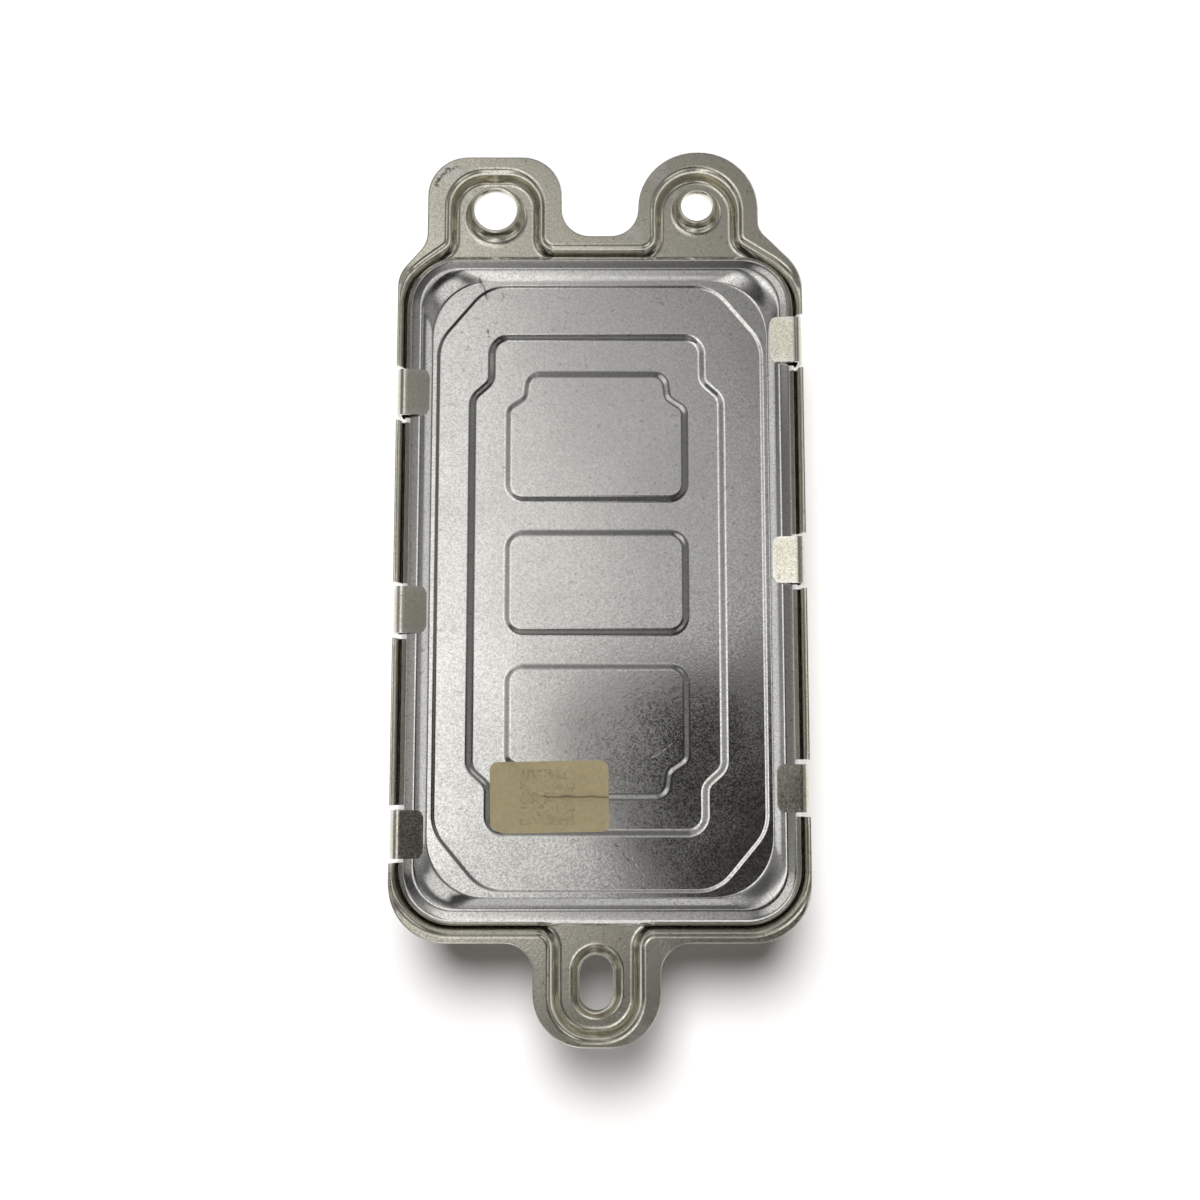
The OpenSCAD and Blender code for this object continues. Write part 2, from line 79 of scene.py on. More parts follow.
@dataclass(frozen=True)
class Corner:
    """A corner of an outline: its place and its rounding radius, in millimetres."""

    x: float
    y: float
    r: float


@dataclass(frozen=True)
class Outline:
    """A closed outline with rounded corners, listed counter-clockwise.

    Loops made with different values of grow have the same number of points, so that
    neighbouring loops can be bridged point to point.
    """

    corners: tuple[Corner, ...]
    stride: float = 3.0
    turn: float = math.radians(7.5)
    counts: tuple[int, ...] = ()

    def loop(self, grow: float = 0.0) -> np.ndarray:
        """Points of the outline moved outwards.

        Args:
            grow: distance outwards; a negative value draws the outline in.

        Returns:
            An array of points, one row each.
        """
        counts = self.counts or self.run_counts()
        arcs = self._arcs(grow)
        points: list[np.ndarray] = []
        for i, arc in enumerate(arcs):
            points.extend(arc)
            start, end = arc[-1], arcs[(i + 1) % len(arcs)][0]
            shares = np.linspace(0, 1, counts[i] + 2)[1:-1]
            points.extend(start + (end - start) * s for s in shares)
        return np.array(points)

    def run_counts(self) -> tuple[int, ...]:
        """How many inner points each straight stretch gets.

        Returns:
            One count for each stretch, in the corners' order.
        """
        arcs = self._arcs(0.0)
        ends = zip(arcs, arcs[1:] + arcs[:1], strict=True)
        gaps = (float(np.linalg.norm(after[0] - arc[-1])) for arc, after in ends)
        return tuple(max(0, math.ceil(gap / self.stride) - 1) for gap in gaps)

    def _arcs(self, grow: float) -> list[np.ndarray]:
        """The points of each corner's arc, on the outline moved outwards by grow.

        Args:
            grow: distance outwards.

        Returns:
            One array of points for each corner.
        """
        place = np.array([(c.x, c.y) for c in self.corners], float)
        ahead = np.roll(place, -1, axis=0) - place
        ahead /= np.linalg.norm(ahead, axis=1)[:, None]
        behind = np.roll(ahead, 1, axis=0)
        out_ahead = np.stack([ahead[:, 1], -ahead[:, 0]], axis=1)
        out_behind = np.roll(out_ahead, 1, axis=0)
        arcs = []
        for i, corner in enumerate(self.corners):
            cross = behind[i][0] * ahead[i][1] - behind[i][1] * ahead[i][0]
            bend = math.atan2(cross, float(behind[i] @ ahead[i]))
            radius = max(LEAST_RADIUS, corner.r + (grow if bend > 0 else -grow))
            shift = grow / (1 + float(out_behind[i] @ out_ahead[i]))
            tip = place[i] + (out_behind[i] + out_ahead[i]) * shift
            first = tip - behind[i] * radius * math.tan(abs(bend) / 2)
            side = -out_behind[i] if bend > 0 else out_behind[i]
            centre = first + side * radius
            steps = max(2, math.ceil(abs(bend) / self.turn))
            arm = first - centre
            turns = (_turned(arm, bend * k / steps) for k in range(steps + 1))
            arcs.append(np.array([centre + turn for turn in turns]))
        return arcs


@dataclass(frozen=True)
class Hole:
    """A round hole, or a slot along Y where long is over wide.

    Lean moves the loops far outside the edge towards -Y, so that the foot of a collar sits
    off the hole's middle.
    """

    x: float
    y: float
    wide: float
    long: float
    lean: float = 0.0
    lean_from: float = 0.5
    lean_run: float = 1.15
    count: int = 56

    def loop(self, grow: float = 0.0) -> np.ndarray:
        """Points of the hole's edge moved outwards by grow.

        Args:
            grow: distance outwards.

        Returns:
            An array of points, one row each.
        """
        angle = (np.arange(self.count) + 0.5) * 2 * math.pi / self.count
        radius = self.wide / 2 + grow
        run = (self.long - self.wide) / 2
        x = self.x + radius * np.cos(angle)
        shift = self.lean * min(1.0, max(0.0, (grow - self.lean_from) / self.lean_run))
        y = self.y - shift + radius * np.sin(angle) + np.sign(np.sin(angle)) * run
        return np.stack([x, y], axis=1)


def _turned(v: np.ndarray, angle: float) -> np.ndarray:
    """A plane vector turned counter-clockwise."""
    c, s = math.cos(angle), math.sin(angle)
    return np.array([v[0] * c - v[1] * s, v[0] * s + v[1] * c])


def rounded_box(x0: float, x1: float, y0: float, y1: float, r: float) -> Outline:
    """A rounded rectangle given by its four edges."""
    places = ((x0, y0), (x1, y0), (x1, y1), (x0, y1))
    return Outline(tuple(Corner(x, y, r) for x, y in places))


def stepped_box(
    x: tuple[float, float], y: tuple[float, float], foot: Sequence[Rgb], head: Sequence[Rgb]
) -> Outline:
    """A box whose corners follow short runs of points.

    Args:
        x: its left and right edges.
        y: its foot and head edges.
        foot: points of each corner at the foot: way inwards along x and y, and radius.
        head: the same for the corners at the head.

    Returns:
        The outline.
    """
    corners = []
    for i, j, backwards in ((0, 0, False), (1, 0, True), (1, 1, False), (0, 1, True)):
        in_x, in_y = 1 - 2 * i, 1 - 2 * j
        run = [Corner(x[i] + in_x * a, y[j] + in_y * b, r) for a, b, r in (foot, head)[j]]
        corners.extend(run[::-1] if backwards else run)
    return Outline(tuple(corners), stride=2.5)


def inside(points: np.ndarray, loop: np.ndarray) -> np.ndarray:
    """Which points lie inside a closed loop, by counting crossings.

    Args:
        points: points to test, one row each.
        loop: the closed loop's points.

    Returns:
        True or false for each point.
    """
    ax, ay = loop[:, 0], loop[:, 1]
    bx, by = np.roll(ax, -1), np.roll(ay, -1)
    px, py = points[:, 0:1], points[:, 1:2]
    spans = (ay > py) != (by > py)
    rise = np.where(by == ay, 1.0, by - ay)
    hits = spans & (px < (bx - ax) * (py - ay) / rise + ax)
    return hits.sum(axis=1) % 2 == 1


def distance(points: np.ndarray, loop: np.ndarray) -> np.ndarray:
    """Signed distance from points to a closed loop, negative inside.

    Args:
        points: points to measure, one row each.
        loop: the closed loop's points.

    Returns:
        One distance for each point.
    """
    a, b = loop, np.roll(loop, -1, axis=0)
    ab = b - a
    rel = points[:, None, :] - a[None]
    share = np.clip((rel * ab).sum(2) / np.maximum((ab * ab).sum(1), 1e-12), 0, 1)
    gap = np.linalg.norm(rel - share[..., None] * ab, axis=2).min(axis=1)
    return np.where(inside(points, loop), -gap, gap)


def ease(t: np.ndarray | float) -> np.ndarray:
    """A smooth step from 0 to 1 as t goes from 0 to 1."""
    t = np.clip(t, 0.0, 1.0)
    return t * t * (3 - 2 * t)


def bend_profile(g0: float, z0: float, g1: float, z1: float, steps: int = 10) -> list:
    """A smooth S-shaped step in a profile, with a short level run at each end.

    Args:
        g0: distance outwards where the step starts.
        z0: height where it starts.
        g1: distance outwards where it ends.
        z1: height where it ends.
        steps: number of facets across it.

    Returns:
        Pairs of distance outwards and height.
    """
    run = math.copysign(LEVEL_RUN, g1 - g0)
    shares = [0.5 - 0.5 * math.cos(math.pi * k / steps) for k in range(steps + 1)]
    bend = [(g0 + (g1 - g0) * s, z0 + (z1 - z0) * float(ease(s))) for s in shares]
    return [(g0 - run, z0), *bend, (g1 + run, z1)]


# ---------------- sheet meshes


class Sheet:
    """Gathers loops, bridges between them and flat fills into one closed mesh."""

    def __init__(self) -> None:
        """Start with no vertices and no faces."""
        self.points: list[tuple[float, float, float]] = []
        self.faces: list[tuple[int, ...]] = []

    def ring(self, xy: np.ndarray, z: float | np.ndarray) -> range:
        """Add a loop of vertices.

        Args:
            xy: the loop's points in plan.
            z: one height, or a height for each point.

        Returns:
            The new vertices' numbers.
        """
        first = len(self.points)
        heights = np.broadcast_to(np.asarray(z, float), (len(xy),))
        self.points.extend((p[0], p[1], h) for p, h in zip(xy, heights, strict=True))
        return range(first, len(self.points))

    def bridge(self, a: range, b: range) -> None:
        """Join two loops of the same length with a band of four-sided faces.

        Args:
            a: the first loop's vertices.
            b: the second loop's vertices.
        """
        n = len(a)
        self.faces.extend(
            (a[i], a[(i + 1) % n], b[(i + 1) % n], b[i]) for i in range(n)
        )

    def strip(self, rings: Sequence[range]) -> None:
        """Bridge each loop of a list to the next."""
        for a, b in zip(rings, rings[1:]):
            self.bridge(a, b)

    def walls(self, outline: Outline | Hole, profile: Profile) -> tuple[range, range]:
        """Add the bands that follow a profile round an outline.

        Args:
            outline: the outline that each loop grows from.
            profile: pairs of distance outwards and height.

        Returns:
            The first and the last loop.
        """
        rings = [self.ring(outline.loop(g), z) for g, z in profile]
        self.strip(rings)
        return rings[0], rings[-1]

    def fill(self, outer: range, holes: Sequence[range] = (), pitch: float = 0) -> None:
        """Close the area between loops with triangles.

        Args:
            outer: the loop round the area.
            holes: loops of the places left open.
            pitch: spacing of inner vertices, or 0 for none.
        """
        plan = np.array(self.points)[:, :2]
        loops = [plan[list(r)] for r in (outer, *holes)]
        numbers = [i for r in (outer, *holes) for i in r]
        xy = np.concatenate(loops)
        edges, start = [], 0
        for loop in loops:
            n = len(loop)
            edges.extend((start + i, start + (i + 1) % n) for i in range(n))
            start += n
        if pitch:
            lo, hi = xy.min(0), xy.max(0)
            marks = (np.arange(lo[k] + pitch / 2, hi[k], pitch) for k in (0, 1))
            grid = np.stack(np.meshgrid(*marks), axis=2).reshape(-1, 2)
            clear = distance(grid, loops[0]) < -pitch * 0.5
            for loop in loops[1:]:
                clear &= distance(grid, loop) > pitch * 0.5
            level = self.points[outer[0]][2]
            numbers.extend(self.ring(grid[clear], level))
            xy = np.concatenate([xy, grid[clear]])
        cut = delaunay_2d_cdt([Vector(p) for p in xy], edges, [], 0, MERGE_GAP, True)
        verts, triangles, sources = cut[0], cut[2], cut[3]
        middles = np.array([
            sum((verts[i] for i in t), Vector((0, 0))) / 3 for t in triangles
        ])
        keep = inside(middles, loops[0])
        for loop in loops[1:]:
            keep &= ~inside(middles, loop)
        self.faces.extend(
            tuple(numbers[sources[i][0]] for i in t)
            for t, k in zip(triangles, keep, strict=True)
            if k
        )

    def build(self, name: str, shape: Shaper | None = None) -> bpy.types.Object:
        """Make the object.

        Args:
            name: the piece's name.
            shape: moves the finished points, all at once, or None.

        Returns:
            The linked object, in metres.
        """
        points = np.array(self.points)
        if shape is not None:
            points = shape(points)
        mesh = bpy.data.meshes.new(name)
        mesh.from_pydata((points * MM).tolist(), [], self.faces)
        work = bmesh.new()
        work.from_mesh(mesh)
        open_faces = {e.link_faces[0] for e in work.edges if len(e.link_faces) == 1}
        stray = [f for f in open_faces if any(len(e.link_faces) > 2 for e in f.edges)]
        bmesh.ops.delete(work, geom=stray, context="FACES")
        bmesh.ops.recalc_face_normals(work, faces=work.faces)
        work.to_mesh(mesh)
        work.free()
        return linked(name, mesh)


def placed(name: str, data: bpy.types.ID) -> bpy.types.Object:
    """An object for a mesh, a light or a camera, linked to the scene.

    Args:
        name: the object's name.
        data: its mesh, light or camera.

    Returns:
        The object.
    """
    obj = bpy.data.objects.new(name, data)
    bpy.context.scene.collection.objects.link(obj)
    return obj


def linked(name: str, mesh: bpy.types.Mesh) -> bpy.types.Object:
    """An object for a mesh, linked to the scene and shaded smooth.

    Args:
        name: the object's name.
        mesh: its mesh.

    Returns:
        The object.
    """
    obj = placed(name, mesh)
    smooth(obj)
    return obj


def finished(work: bmesh.types.BMesh, name: str) -> bpy.types.Object:
    """A linked object made from a working mesh, which is freed.

    Args:
        work: the working mesh.
        name: name of the object and of its mesh.

    Returns:
        The object.
    """
    mesh = bpy.data.meshes.new(name)
    work.to_mesh(mesh)
    work.free()
    return linked(name, mesh)


def smooth(obj: bpy.types.Object, angle: float = 38.0) -> None:
    """Shade smooth, with edges over the angle, in degrees, kept sharp."""
    obj.data.shade_smooth()
    obj.data.set_sharp_from_angle(angle=math.radians(angle))


def even_shading(obj: bpy.types.Object) -> None:
    """Keep the flats flat in shading, by weighing the normals by face area."""
    step = obj.modifiers.new("even_shading", "WEIGHTED_NORMAL")
    step.keep_sharp = True


def cut_with(obj: bpy.types.Object, other: bpy.types.Object, operation: str) -> None:
    """Cut or join a mesh with another one, which is then removed.

    Args:
        obj: the object whose mesh is changed.
        other: the tool.
        operation: DIFFERENCE cuts the tool away and UNION joins it.
    """
    step = obj.modifiers.new("shape", "BOOLEAN")
    step.operation = operation
    step.solver = "EXACT"
    step.object = other
    depsgraph = bpy.context.evaluated_depsgraph_get()
    mesh = bpy.data.meshes.new_from_object(obj.evaluated_get(depsgraph))
    obj.modifiers.clear()
    obj.data = mesh
    bpy.data.objects.remove(other)
    smooth(obj)


def box_mesh(name: str, lo: Sequence[float], hi: Sequence[float]) -> bpy.types.Object:
    """A plain block between two corners, used as a cutting tool.

    Args:
        name: the block's name.
        lo: its lowest corner, in millimetres.
        hi: its highest corner, in millimetres.

    Returns:
        The block.
    """
    work = bmesh.new()
    for v in bmesh.ops.create_cube(work, size=1.0)["verts"]:
        v.co = [((lo[i] + hi[i]) / 2 + v.co[i] * (hi[i] - lo[i])) * MM for i in range(3)]
    return finished(work, name)


def add_piece(obj: bpy.types.Object, slot: str, *nodes: str) -> None:
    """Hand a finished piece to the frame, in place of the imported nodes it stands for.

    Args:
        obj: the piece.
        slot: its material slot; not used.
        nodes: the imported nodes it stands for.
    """
    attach(obj, BODY)
    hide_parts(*nodes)
    LOG.info("%s: %d vertices", obj.name, len(obj.data.vertices))


# ---------------- node trees


class Tree:
    """Short calls for building a node tree."""

    def __init__(self, tree: bpy.types.NodeTree) -> None:
        """Work on a tree."""
        self.tree = tree

    def add(self, kind: str, values: dict | None = None, **settings: object) -> bpy.types.Node:
        """Add a node.

        Args:
            kind: the node's type, without its "ShaderNode" prefix.
            values: input name or number to a value or to a socket that feeds it.
            settings: the node's own properties.

        Returns:
            The new node.
        """
        node = self.tree.nodes.new("ShaderNode" + kind)
        for key, value in settings.items():
            setattr(node, key, value)
        for key, value in (values or {}).items():
            self.feed(node.inputs[key], value)
        return node

    def feed(self, socket: Socket, value: object) -> None:
        """Set a socket to a value, or link it to the socket that feeds it.

        Args:
            socket: the input.
            value: a value, or the socket that feeds it.
        """
        if isinstance(value, Socket):
            self.tree.links.new(value, socket)
        else:
            socket.default_value = value

    def math(self, operation: str, a: object, b: object = 0.0, clamp: bool = False) -> Socket:
        """The result of one arithmetic step."""
        node = self.add("Math", {0: a, 1: b}, operation=operation, use_clamp=clamp)
        return node.outputs[0]

    # Short names for the steps that come up most.
    plus = partialmethod(math, "ADD")
    minus = partialmethod(math, "SUBTRACT")
    times = partialmethod(math, "MULTIPLY")
    over = partialmethod(math, "DIVIDE")
    size = partialmethod(math, "ABSOLUTE")

    def vector(self, operation: str, a: object, b: Sequence[float] | Socket) -> Socket:
        """The result of one vector step."""
        return self.add("VectorMath", {0: a, 1: b}, operation=operation).outputs[0]

    def scaled(self, vector: object, factor: object) -> Socket:
        """A vector times a number."""
        node = self.add("VectorMath", {0: vector, "Scale": factor}, operation="SCALE")
        return node.outputs[0]

    def span(
        self, value: object, lo: float, hi: float, to_lo: float = 0.0, to_hi: float = 1.0
    ) -> Socket:
        """A value moved smoothly from one range to another, and held at its ends."""
        values = {"Value": value, "From Min": lo, "From Max": hi, "To Min": to_lo, "To Max": to_hi}
        return self.add("MapRange", values, interpolation_type="SMOOTHSTEP").outputs["Result"]

    def between(self, share: object, lo: float, hi: float) -> Socket:
        """A value from lo to hi as the share goes from 0 to 1."""
        return self.span(share, 0.0, 1.0, lo, hi)

    def mix(self, share: object, a: object, b: object) -> Socket:
        """A colour between two colours.

        Args:
            share: how far to go from a to b.
            a: the colour at 0.
            b: the colour at 1.

        Returns:
            The colour.
        """
        node = self.add("Mix", data_type="RGBA", blend_type="MIX")
        for name, value in (("Factor", share), ("A", a), ("B", b)):
            self.feed(node.inputs[name], value)
        return node.outputs["Result"]

    def coat(self, mask: object, share: float, under: object, over: object) -> Socket:
        """A colour laid over another one, as far as a mask and a share let it."""
        return self.mix(self.times(mask, share), under, over)

    def mix_value(self, share: object, a: object, b: object) -> Socket:
        """A number blended from a to b."""
        return self.plus(self.times(a, self.minus(1.0, share)), self.times(b, share))

    def noise(
        self, vector: object, size: object, detail: float = 2.0, rough: float = 0.5
    ) -> Socket:
        """A noise value whose features are about size across, in the vector's unit.

        Args:
            vector: the place.
            size: the features' size.
            detail: how many finer layers are added.
            rough: how strong the finer layers are.

        Returns:
            The value, from about 0 to 1.
        """
        scale = self.over(1.0, size) if isinstance(size, Socket) else 1.0 / float(size)
        values = {"Vector": vector, "Scale": scale, "Detail": detail, "Roughness": rough}
        return self.add("TexNoise", values).outputs["Fac"]

    def millimetres(self) -> Socket:
        """The shaded point's place, in millimetres."""
        return self.scaled(self.add("TexCoord").outputs["Object"], 1 / MM)

    def parts(self, vector: object) -> bpy.types.bpy_prop_collection:
        """A vector's X, Y and Z."""
        return self.add("SeparateXYZ", {0: vector}).outputs

    def surface(
        self, shader: bpy.types.Node, colour: Socket, rough: Socket, height: Socket, depth: float
    ) -> None:
        """Feed a shader its colour, its roughness and its relief.

        Args:
            shader: the material's Principled shader.
            colour: the colour.
            rough: the roughness.
            height: the relief, from about 0 to 1.
            depth: how deep the relief is, in millimetres.
        """
        bump = self.add("Bump", {"Height": height, "Strength": 1.0, "Distance": depth * MM})
        self.feed(shader.inputs["Base Color"], colour)
        self.feed(shader.inputs["Roughness"], rough)
        self.feed(shader.inputs["Normal"], bump.outputs[0])


def grey(value: float) -> Rgba:
    """An opaque grey."""
    return (value, value, value, 1.0)


def tinted(rgb: Sequence[float], times: float = 1.0) -> Rgba:
    """An opaque colour, lighter or darker by a factor."""
    return (rgb[0] * times, rgb[1] * times, rgb[2] * times, 1.0)


class Effect(Enum):
    """The shared effects, each a node group that is made once."""

    GRAIN = "fine_grain"
    SMUDGE = "handling_smudge"
    EDGE = "edge_wear_and_highlight"
    SCRATCH = "scratch_mark"


Sockets = bpy.types.bpy_prop_collection


def make_group(
    effect: Effect, inputs: dict[str, float | tuple], outputs: Sequence[str]
) -> tuple[Tree, Sockets, Sockets]:
    """Start a node group.

    Args:
        effect: the effect that the group makes.
        inputs: input names with their default values; a tuple makes a vector input.
        outputs: names of the values it puts out.

    Returns:
        The tree, the values given to it and the sockets for its results.
    """
    group = bpy.data.node_groups.new(effect.value, "ShaderNodeTree")
    for name, value in inputs.items():
        kind = "NodeSocketVector" if isinstance(value, tuple) else "NodeSocketFloat"
        socket = group.interface.new_socket(name, in_out="INPUT", socket_type=kind)
        socket.default_value = value
    for name in outputs:
        group.interface.new_socket(name, in_out="OUTPUT", socket_type="NodeSocketFloat")
    given = group.nodes.new("NodeGroupInput").outputs
    return Tree(group), given, group.nodes.new("NodeGroupOutput").inputs


def make_grain() -> None:
    """Fine spangle of a plated or moulded surface: a height, a shade and bright specks."""
    inputs = {"Size": 0.3, "Stretch": 1.0}
    tree, given, result = make_group(Effect.GRAIN, inputs, ("Height", "Shade", "Speck"))
    wide = tree.add("CombineXYZ", {0: 1.0, 1: given["Stretch"], 2: 1.0}).outputs[0]
    place = tree.vector("MULTIPLY", tree.millimetres(), wide)
    fine = tree.noise(place, given["Size"], 2.0, 0.6)
    coarse = tree.noise(place, tree.times(given["Size"], 2.3), 1.0)
    tree.feed(result["Height"], tree.plus(fine, tree.times(coarse, 0.7)))
    tree.feed(result["Shade"], tree.span(tree.plus(fine, coarse), 0.7, 1.3))
    cells = tree.add("TexVoronoi", {"Vector": place, "Scale": tree.over(1.0, given["Size"])})
    tree.feed(result["Speck"], tree.parts(cells.outputs["Color"])[0])


def make_smudge() -> None:
    """Cloudy variation left by handling and uneven plating."""
    tree, given, result = make_group(Effect.SMUDGE, {"Size": 14.0}, ("Cloud", "Fleck"))
    place = tree.millimetres()
    cloud = tree.noise(place, given["Size"], 3.0, 0.6)
    tree.feed(result["Cloud"], tree.span(cloud, 0.3, 0.7))
    tree.feed(result["Fleck"], tree.span(tree.noise(place, 0.8, 1.0), 0.68, 0.74))


def make_edge() -> None:
    """Worn, brighter metal on raised edges, broken up by noise, partly a painted highlight."""
    tree, given, result = make_group(Effect.EDGE, {"Amount": 1.0}, ("Mask",))
    crest = tree.span(tree.add("NewGeometry").outputs["Pointiness"], 0.51, 0.58)
    broken = tree.span(tree.noise(tree.millimetres(), 1.1, 3.0), 0.35, 0.6, 0.3, 1.0)
    tree.feed(result["Mask"], tree.times(tree.times(crest, broken), given["Amount"], True))


def make_scratch() -> None:
    """One straight scratch, faded at its ends and broken along its length."""
    inputs = {"Place": (0.0, 0.0, 0.0), "Angle": 0.0, "Length": 8.0, "Width": 0.12}
    tree, given, result = make_group(Effect.SCRATCH, inputs, ("Mask",))
    place = tree.millimetres()
    wander = tree.times(tree.minus(tree.noise(place, 2.5), 0.5), 0.9)
    offset = tree.vector("SUBTRACT", place, given["Place"])
    back = tree.times(given["Angle"], -1.0)
    along = tree.parts(tree.add("VectorRotate", {"Vector": offset, "Angle": back}).outputs[0])
    across = tree.size(tree.plus(along[1], wander))
    fade = {"Value": across, "From Max": given["Width"], "To Min": 1.0, "To Max": 0.0}
    line = tree.add("MapRange", fade).outputs[0]
    reach = tree.over(tree.size(along[0]), tree.times(given["Length"], 0.5))
    faded = tree.times(line, tree.span(reach, 0.6, 1.0, 1.0, 0.0))
    broken = tree.span(tree.noise(place, 0.5), 0.4, 0.55)
    tree.feed(result["Mask"], tree.times(faded, broken, True))


def make_effects() -> None:
    """Build every shared effect once."""
    for build in (make_grain, make_smudge, make_edge, make_scratch):
        build()


def effect(tree: Tree, kind: Effect, **values: object) -> Sockets:
    """Place a shared effect in a tree with its own values, and give its outputs.

    Args:
        tree: the tree that takes it.
        kind: the effect.
        values: names of its inputs and their values.

    Returns:
        The effect's outputs.
    """
    node = tree.tree.nodes.new("ShaderNodeGroup")
    node.node_tree = bpy.data.node_groups[kind.value]
    for key, value in values.items():
        tree.feed(node.inputs[key], value)
    return node.outputs


# ---------------- finishes


# Brighter colour on raised edges: partly worn metal, partly a painted highlight along the crests.
WORN_METAL_AND_HIGHLIGHT: Rgb = (0.86, 0.85, 0.82)
SCRATCH_DARK: Rgb = (0.05, 0.045, 0.04)
SCRATCH_BRIGHT: Rgb = (0.9, 0.89, 0.86)


@dataclass(frozen=True)
class ScratchPlace:
    """Where a scratch lies: its middle, direction, length and width, in mm and degrees."""

    x: float
    y: float
    angle: float
    length: float
    width: float
    dark: bool = False

    def mask(self, tree: Tree) -> Socket:
        """Where the scratch covers the surface.

        Args:
            tree: the material's tree.

        Returns:
            The mask, from 0 to 1.
        """
        values = {
            "Place": (self.x, self.y, 0.0), "Angle": math.radians(self.angle),
            "Length": self.length, "Width": self.width,
        }
        return effect(tree, Effect.SCRATCH, **values)["Mask"]


@dataclass(frozen=True)
class PlatedSheet:
    """A plated steel sheet with a fine spangle, as rolled and then pressed."""

    name: str
    colour: Rgb
    roughness: float
    grain: float
    depth: float
    contrast: float
    wear: float
    scratches: tuple[ScratchPlace, ...] = ()

    def material(self) -> bpy.types.Material:
        """Build the material.

        Returns:
            The material.
        """
        mat, tree, shader = new_material(self.name)
        spangle = effect(tree, Effect.GRAIN, Size=self.grain)
        smudge = effect(tree, Effect.SMUDGE)
        edge = effect(tree, Effect.EDGE, Amount=self.wear)["Mask"]
        dark, light = (tinted(self.colour, 1 + self.contrast * way) for way in (-1, 1))
        share = tree.plus(tree.times(spangle["Speck"], 0.7), tree.times(spangle["Shade"], 0.3))
        cloud = tree.between(smudge["Cloud"], 0.0, 0.3)
        colour = tree.mix(cloud, tree.mix(share, dark, light), tinted(self.colour, 0.86))
        colour = tree.coat(smudge["Fleck"], 0.35, colour, tinted(self.colour, 0.35))
        # Raised edges brightened: wear and a painted highlight.
        colour = tree.mix(edge, colour, tinted(WORN_METAL_AND_HIGHLIGHT))
        rough = tree.plus(tree.between(spangle["Speck"], 0.05, -0.05), self.roughness)
        rough = tree.plus(rough, tree.between(smudge["Cloud"], -0.015, 0.025))
        height = spangle["Height"]
        for mark in self.scratches:
            mask = mark.mask(tree)
            share, shade = (0.9, SCRATCH_DARK) if mark.dark else (0.6, SCRATCH_BRIGHT)
            colour = tree.coat(mask, share, colour, tinted(shade))
            height = tree.minus(height, mask)
        tree.surface(shader, colour, rough, height, self.depth)
        shader.inputs["Metallic"].default_value = 1.0
        return mat


@dataclass(frozen=True)
class Moulded:
    """A moulded, dipped or fired part: one colour with grain and slight clouding."""

    name: str
    colour: Rgb
    roughness: float
    grain: float = 0.25
    depth: float = 0.01
    contrast: float = 0.12
    metallic: float = 0.0
    stretch: float = 1.0

    def material(self) -> bpy.types.Material:
        """Build the material.

        Returns:
            The material.
        """
        mat, tree, shader = new_material(self.name)
        spangle = effect(tree, Effect.GRAIN, Size=self.grain, Stretch=self.stretch)
        cloud = effect(tree, Effect.SMUDGE, Size=6.0)["Cloud"]
        edge = effect(tree, Effect.EDGE, Amount=0.35)["Mask"]
        dark, light = (tinted(self.colour, 1 + self.contrast * way) for way in (-1, 1))
        colour = tree.mix(spangle["Shade"], dark, light)
        colour = tree.coat(cloud, 0.2, colour, tinted(self.colour, 0.7))
        # Edges lightened: wear and a painted highlight.
        colour = tree.mix(edge, colour, tinted([0.3 + 0.7 * c for c in self.colour]))
        rough = tree.between(cloud, self.roughness - 0.05, self.roughness + 0.07)
        tree.surface(shader, colour, rough, spangle["Height"], self.depth)
        shader.inputs["Metallic"].default_value = self.metallic
        return mat


def new_material(name: str) -> tuple[bpy.types.Material, Tree, bpy.types.Node]:
    """A new material with its tree and its Principled shader.

    Args:
        name: the material's name.

    Returns:
        The material, its tree and its shader.
    """
    mat = bpy.data.materials.new(name)
    mat.use_nodes = True
    return mat, Tree(mat.node_tree), mat.node_tree.nodes["Principled BSDF"]


def dress(obj: bpy.types.Object, mat: bpy.types.Material) -> None:
    """Give an object one material for all its faces."""
    obj.data.materials.clear()
    obj.data.materials.append(mat)


# ---------------- case pressing


# Profiles of the case: distance outwards and height over the seat.
SEAT_FOOT: Profile = ((-0.95, 0), (-0.8, 0), (-0.48, 0.04), (-0.22, 0.18))
RIM_UPPER: Profile = (
    *SEAT_FOOT, (-0.08, 0.42), (0.02, 0.74), (0.12, 1.08), (0.26, 1.42), (0.46, 1.74),
    (0.72, 1.99), (1.02, 2.15), (1.3, 2.2), (1.42, 2.2),
)
LIP_UPPER: Profile = (
    *SEAT_FOOT, (-0.1, 0.42), (-0.04, 0.74), (0.02, 1.08), (0.1, 1.42), (0.21, 1.76),
    (0.34, 2.08), (0.47, 2.36), (0.6, 2.57), (0.66, 2.6),
)
RIM_EDGE: Profile = (
    (-0.22, 2.2), (-0.12, 2.2), (-0.03, 2.15), (0.0, 2.06), (0.0, 1.72), (-0.1, 1.6),
)
LIP_EDGE: Profile = (
    (-0.24, 2.6), (-0.14, 2.6), (-0.05, 2.56), (0.0, 2.48), (-0.02, 2.36), (-0.06, 2.24),
)
SEAT_UNDER: Profile = ((0.3, -0.42), (-0.2, -0.6), (-0.35, -0.6))
RIM_LOWER: Profile = (
    (1.6, 1.6), (1.3, 1.52), (1.0, 1.3), (0.8, 0.9), (0.66, 0.4), (0.55, -0.1), *SEAT_UNDER,
)
LIP_LOWER: Profile = (
    (0.92, 2.0), (0.84, 1.75), (0.72, 1.4), (0.62, 0.95), (0.55, 0.45), (0.5, -0.1), *SEAT_UNDER,
)
CAN_INNER: Profile = (
    (1.15, 0), (1.0, 0), (0.55, -0.1), (0.18, -0.45), (0.0, -1.0), (-0.15, -16.6),
    (-0.32, -17.8), (-0.8, -18.8), (-1.5, -19.25), (-2.4, -19.4),
)
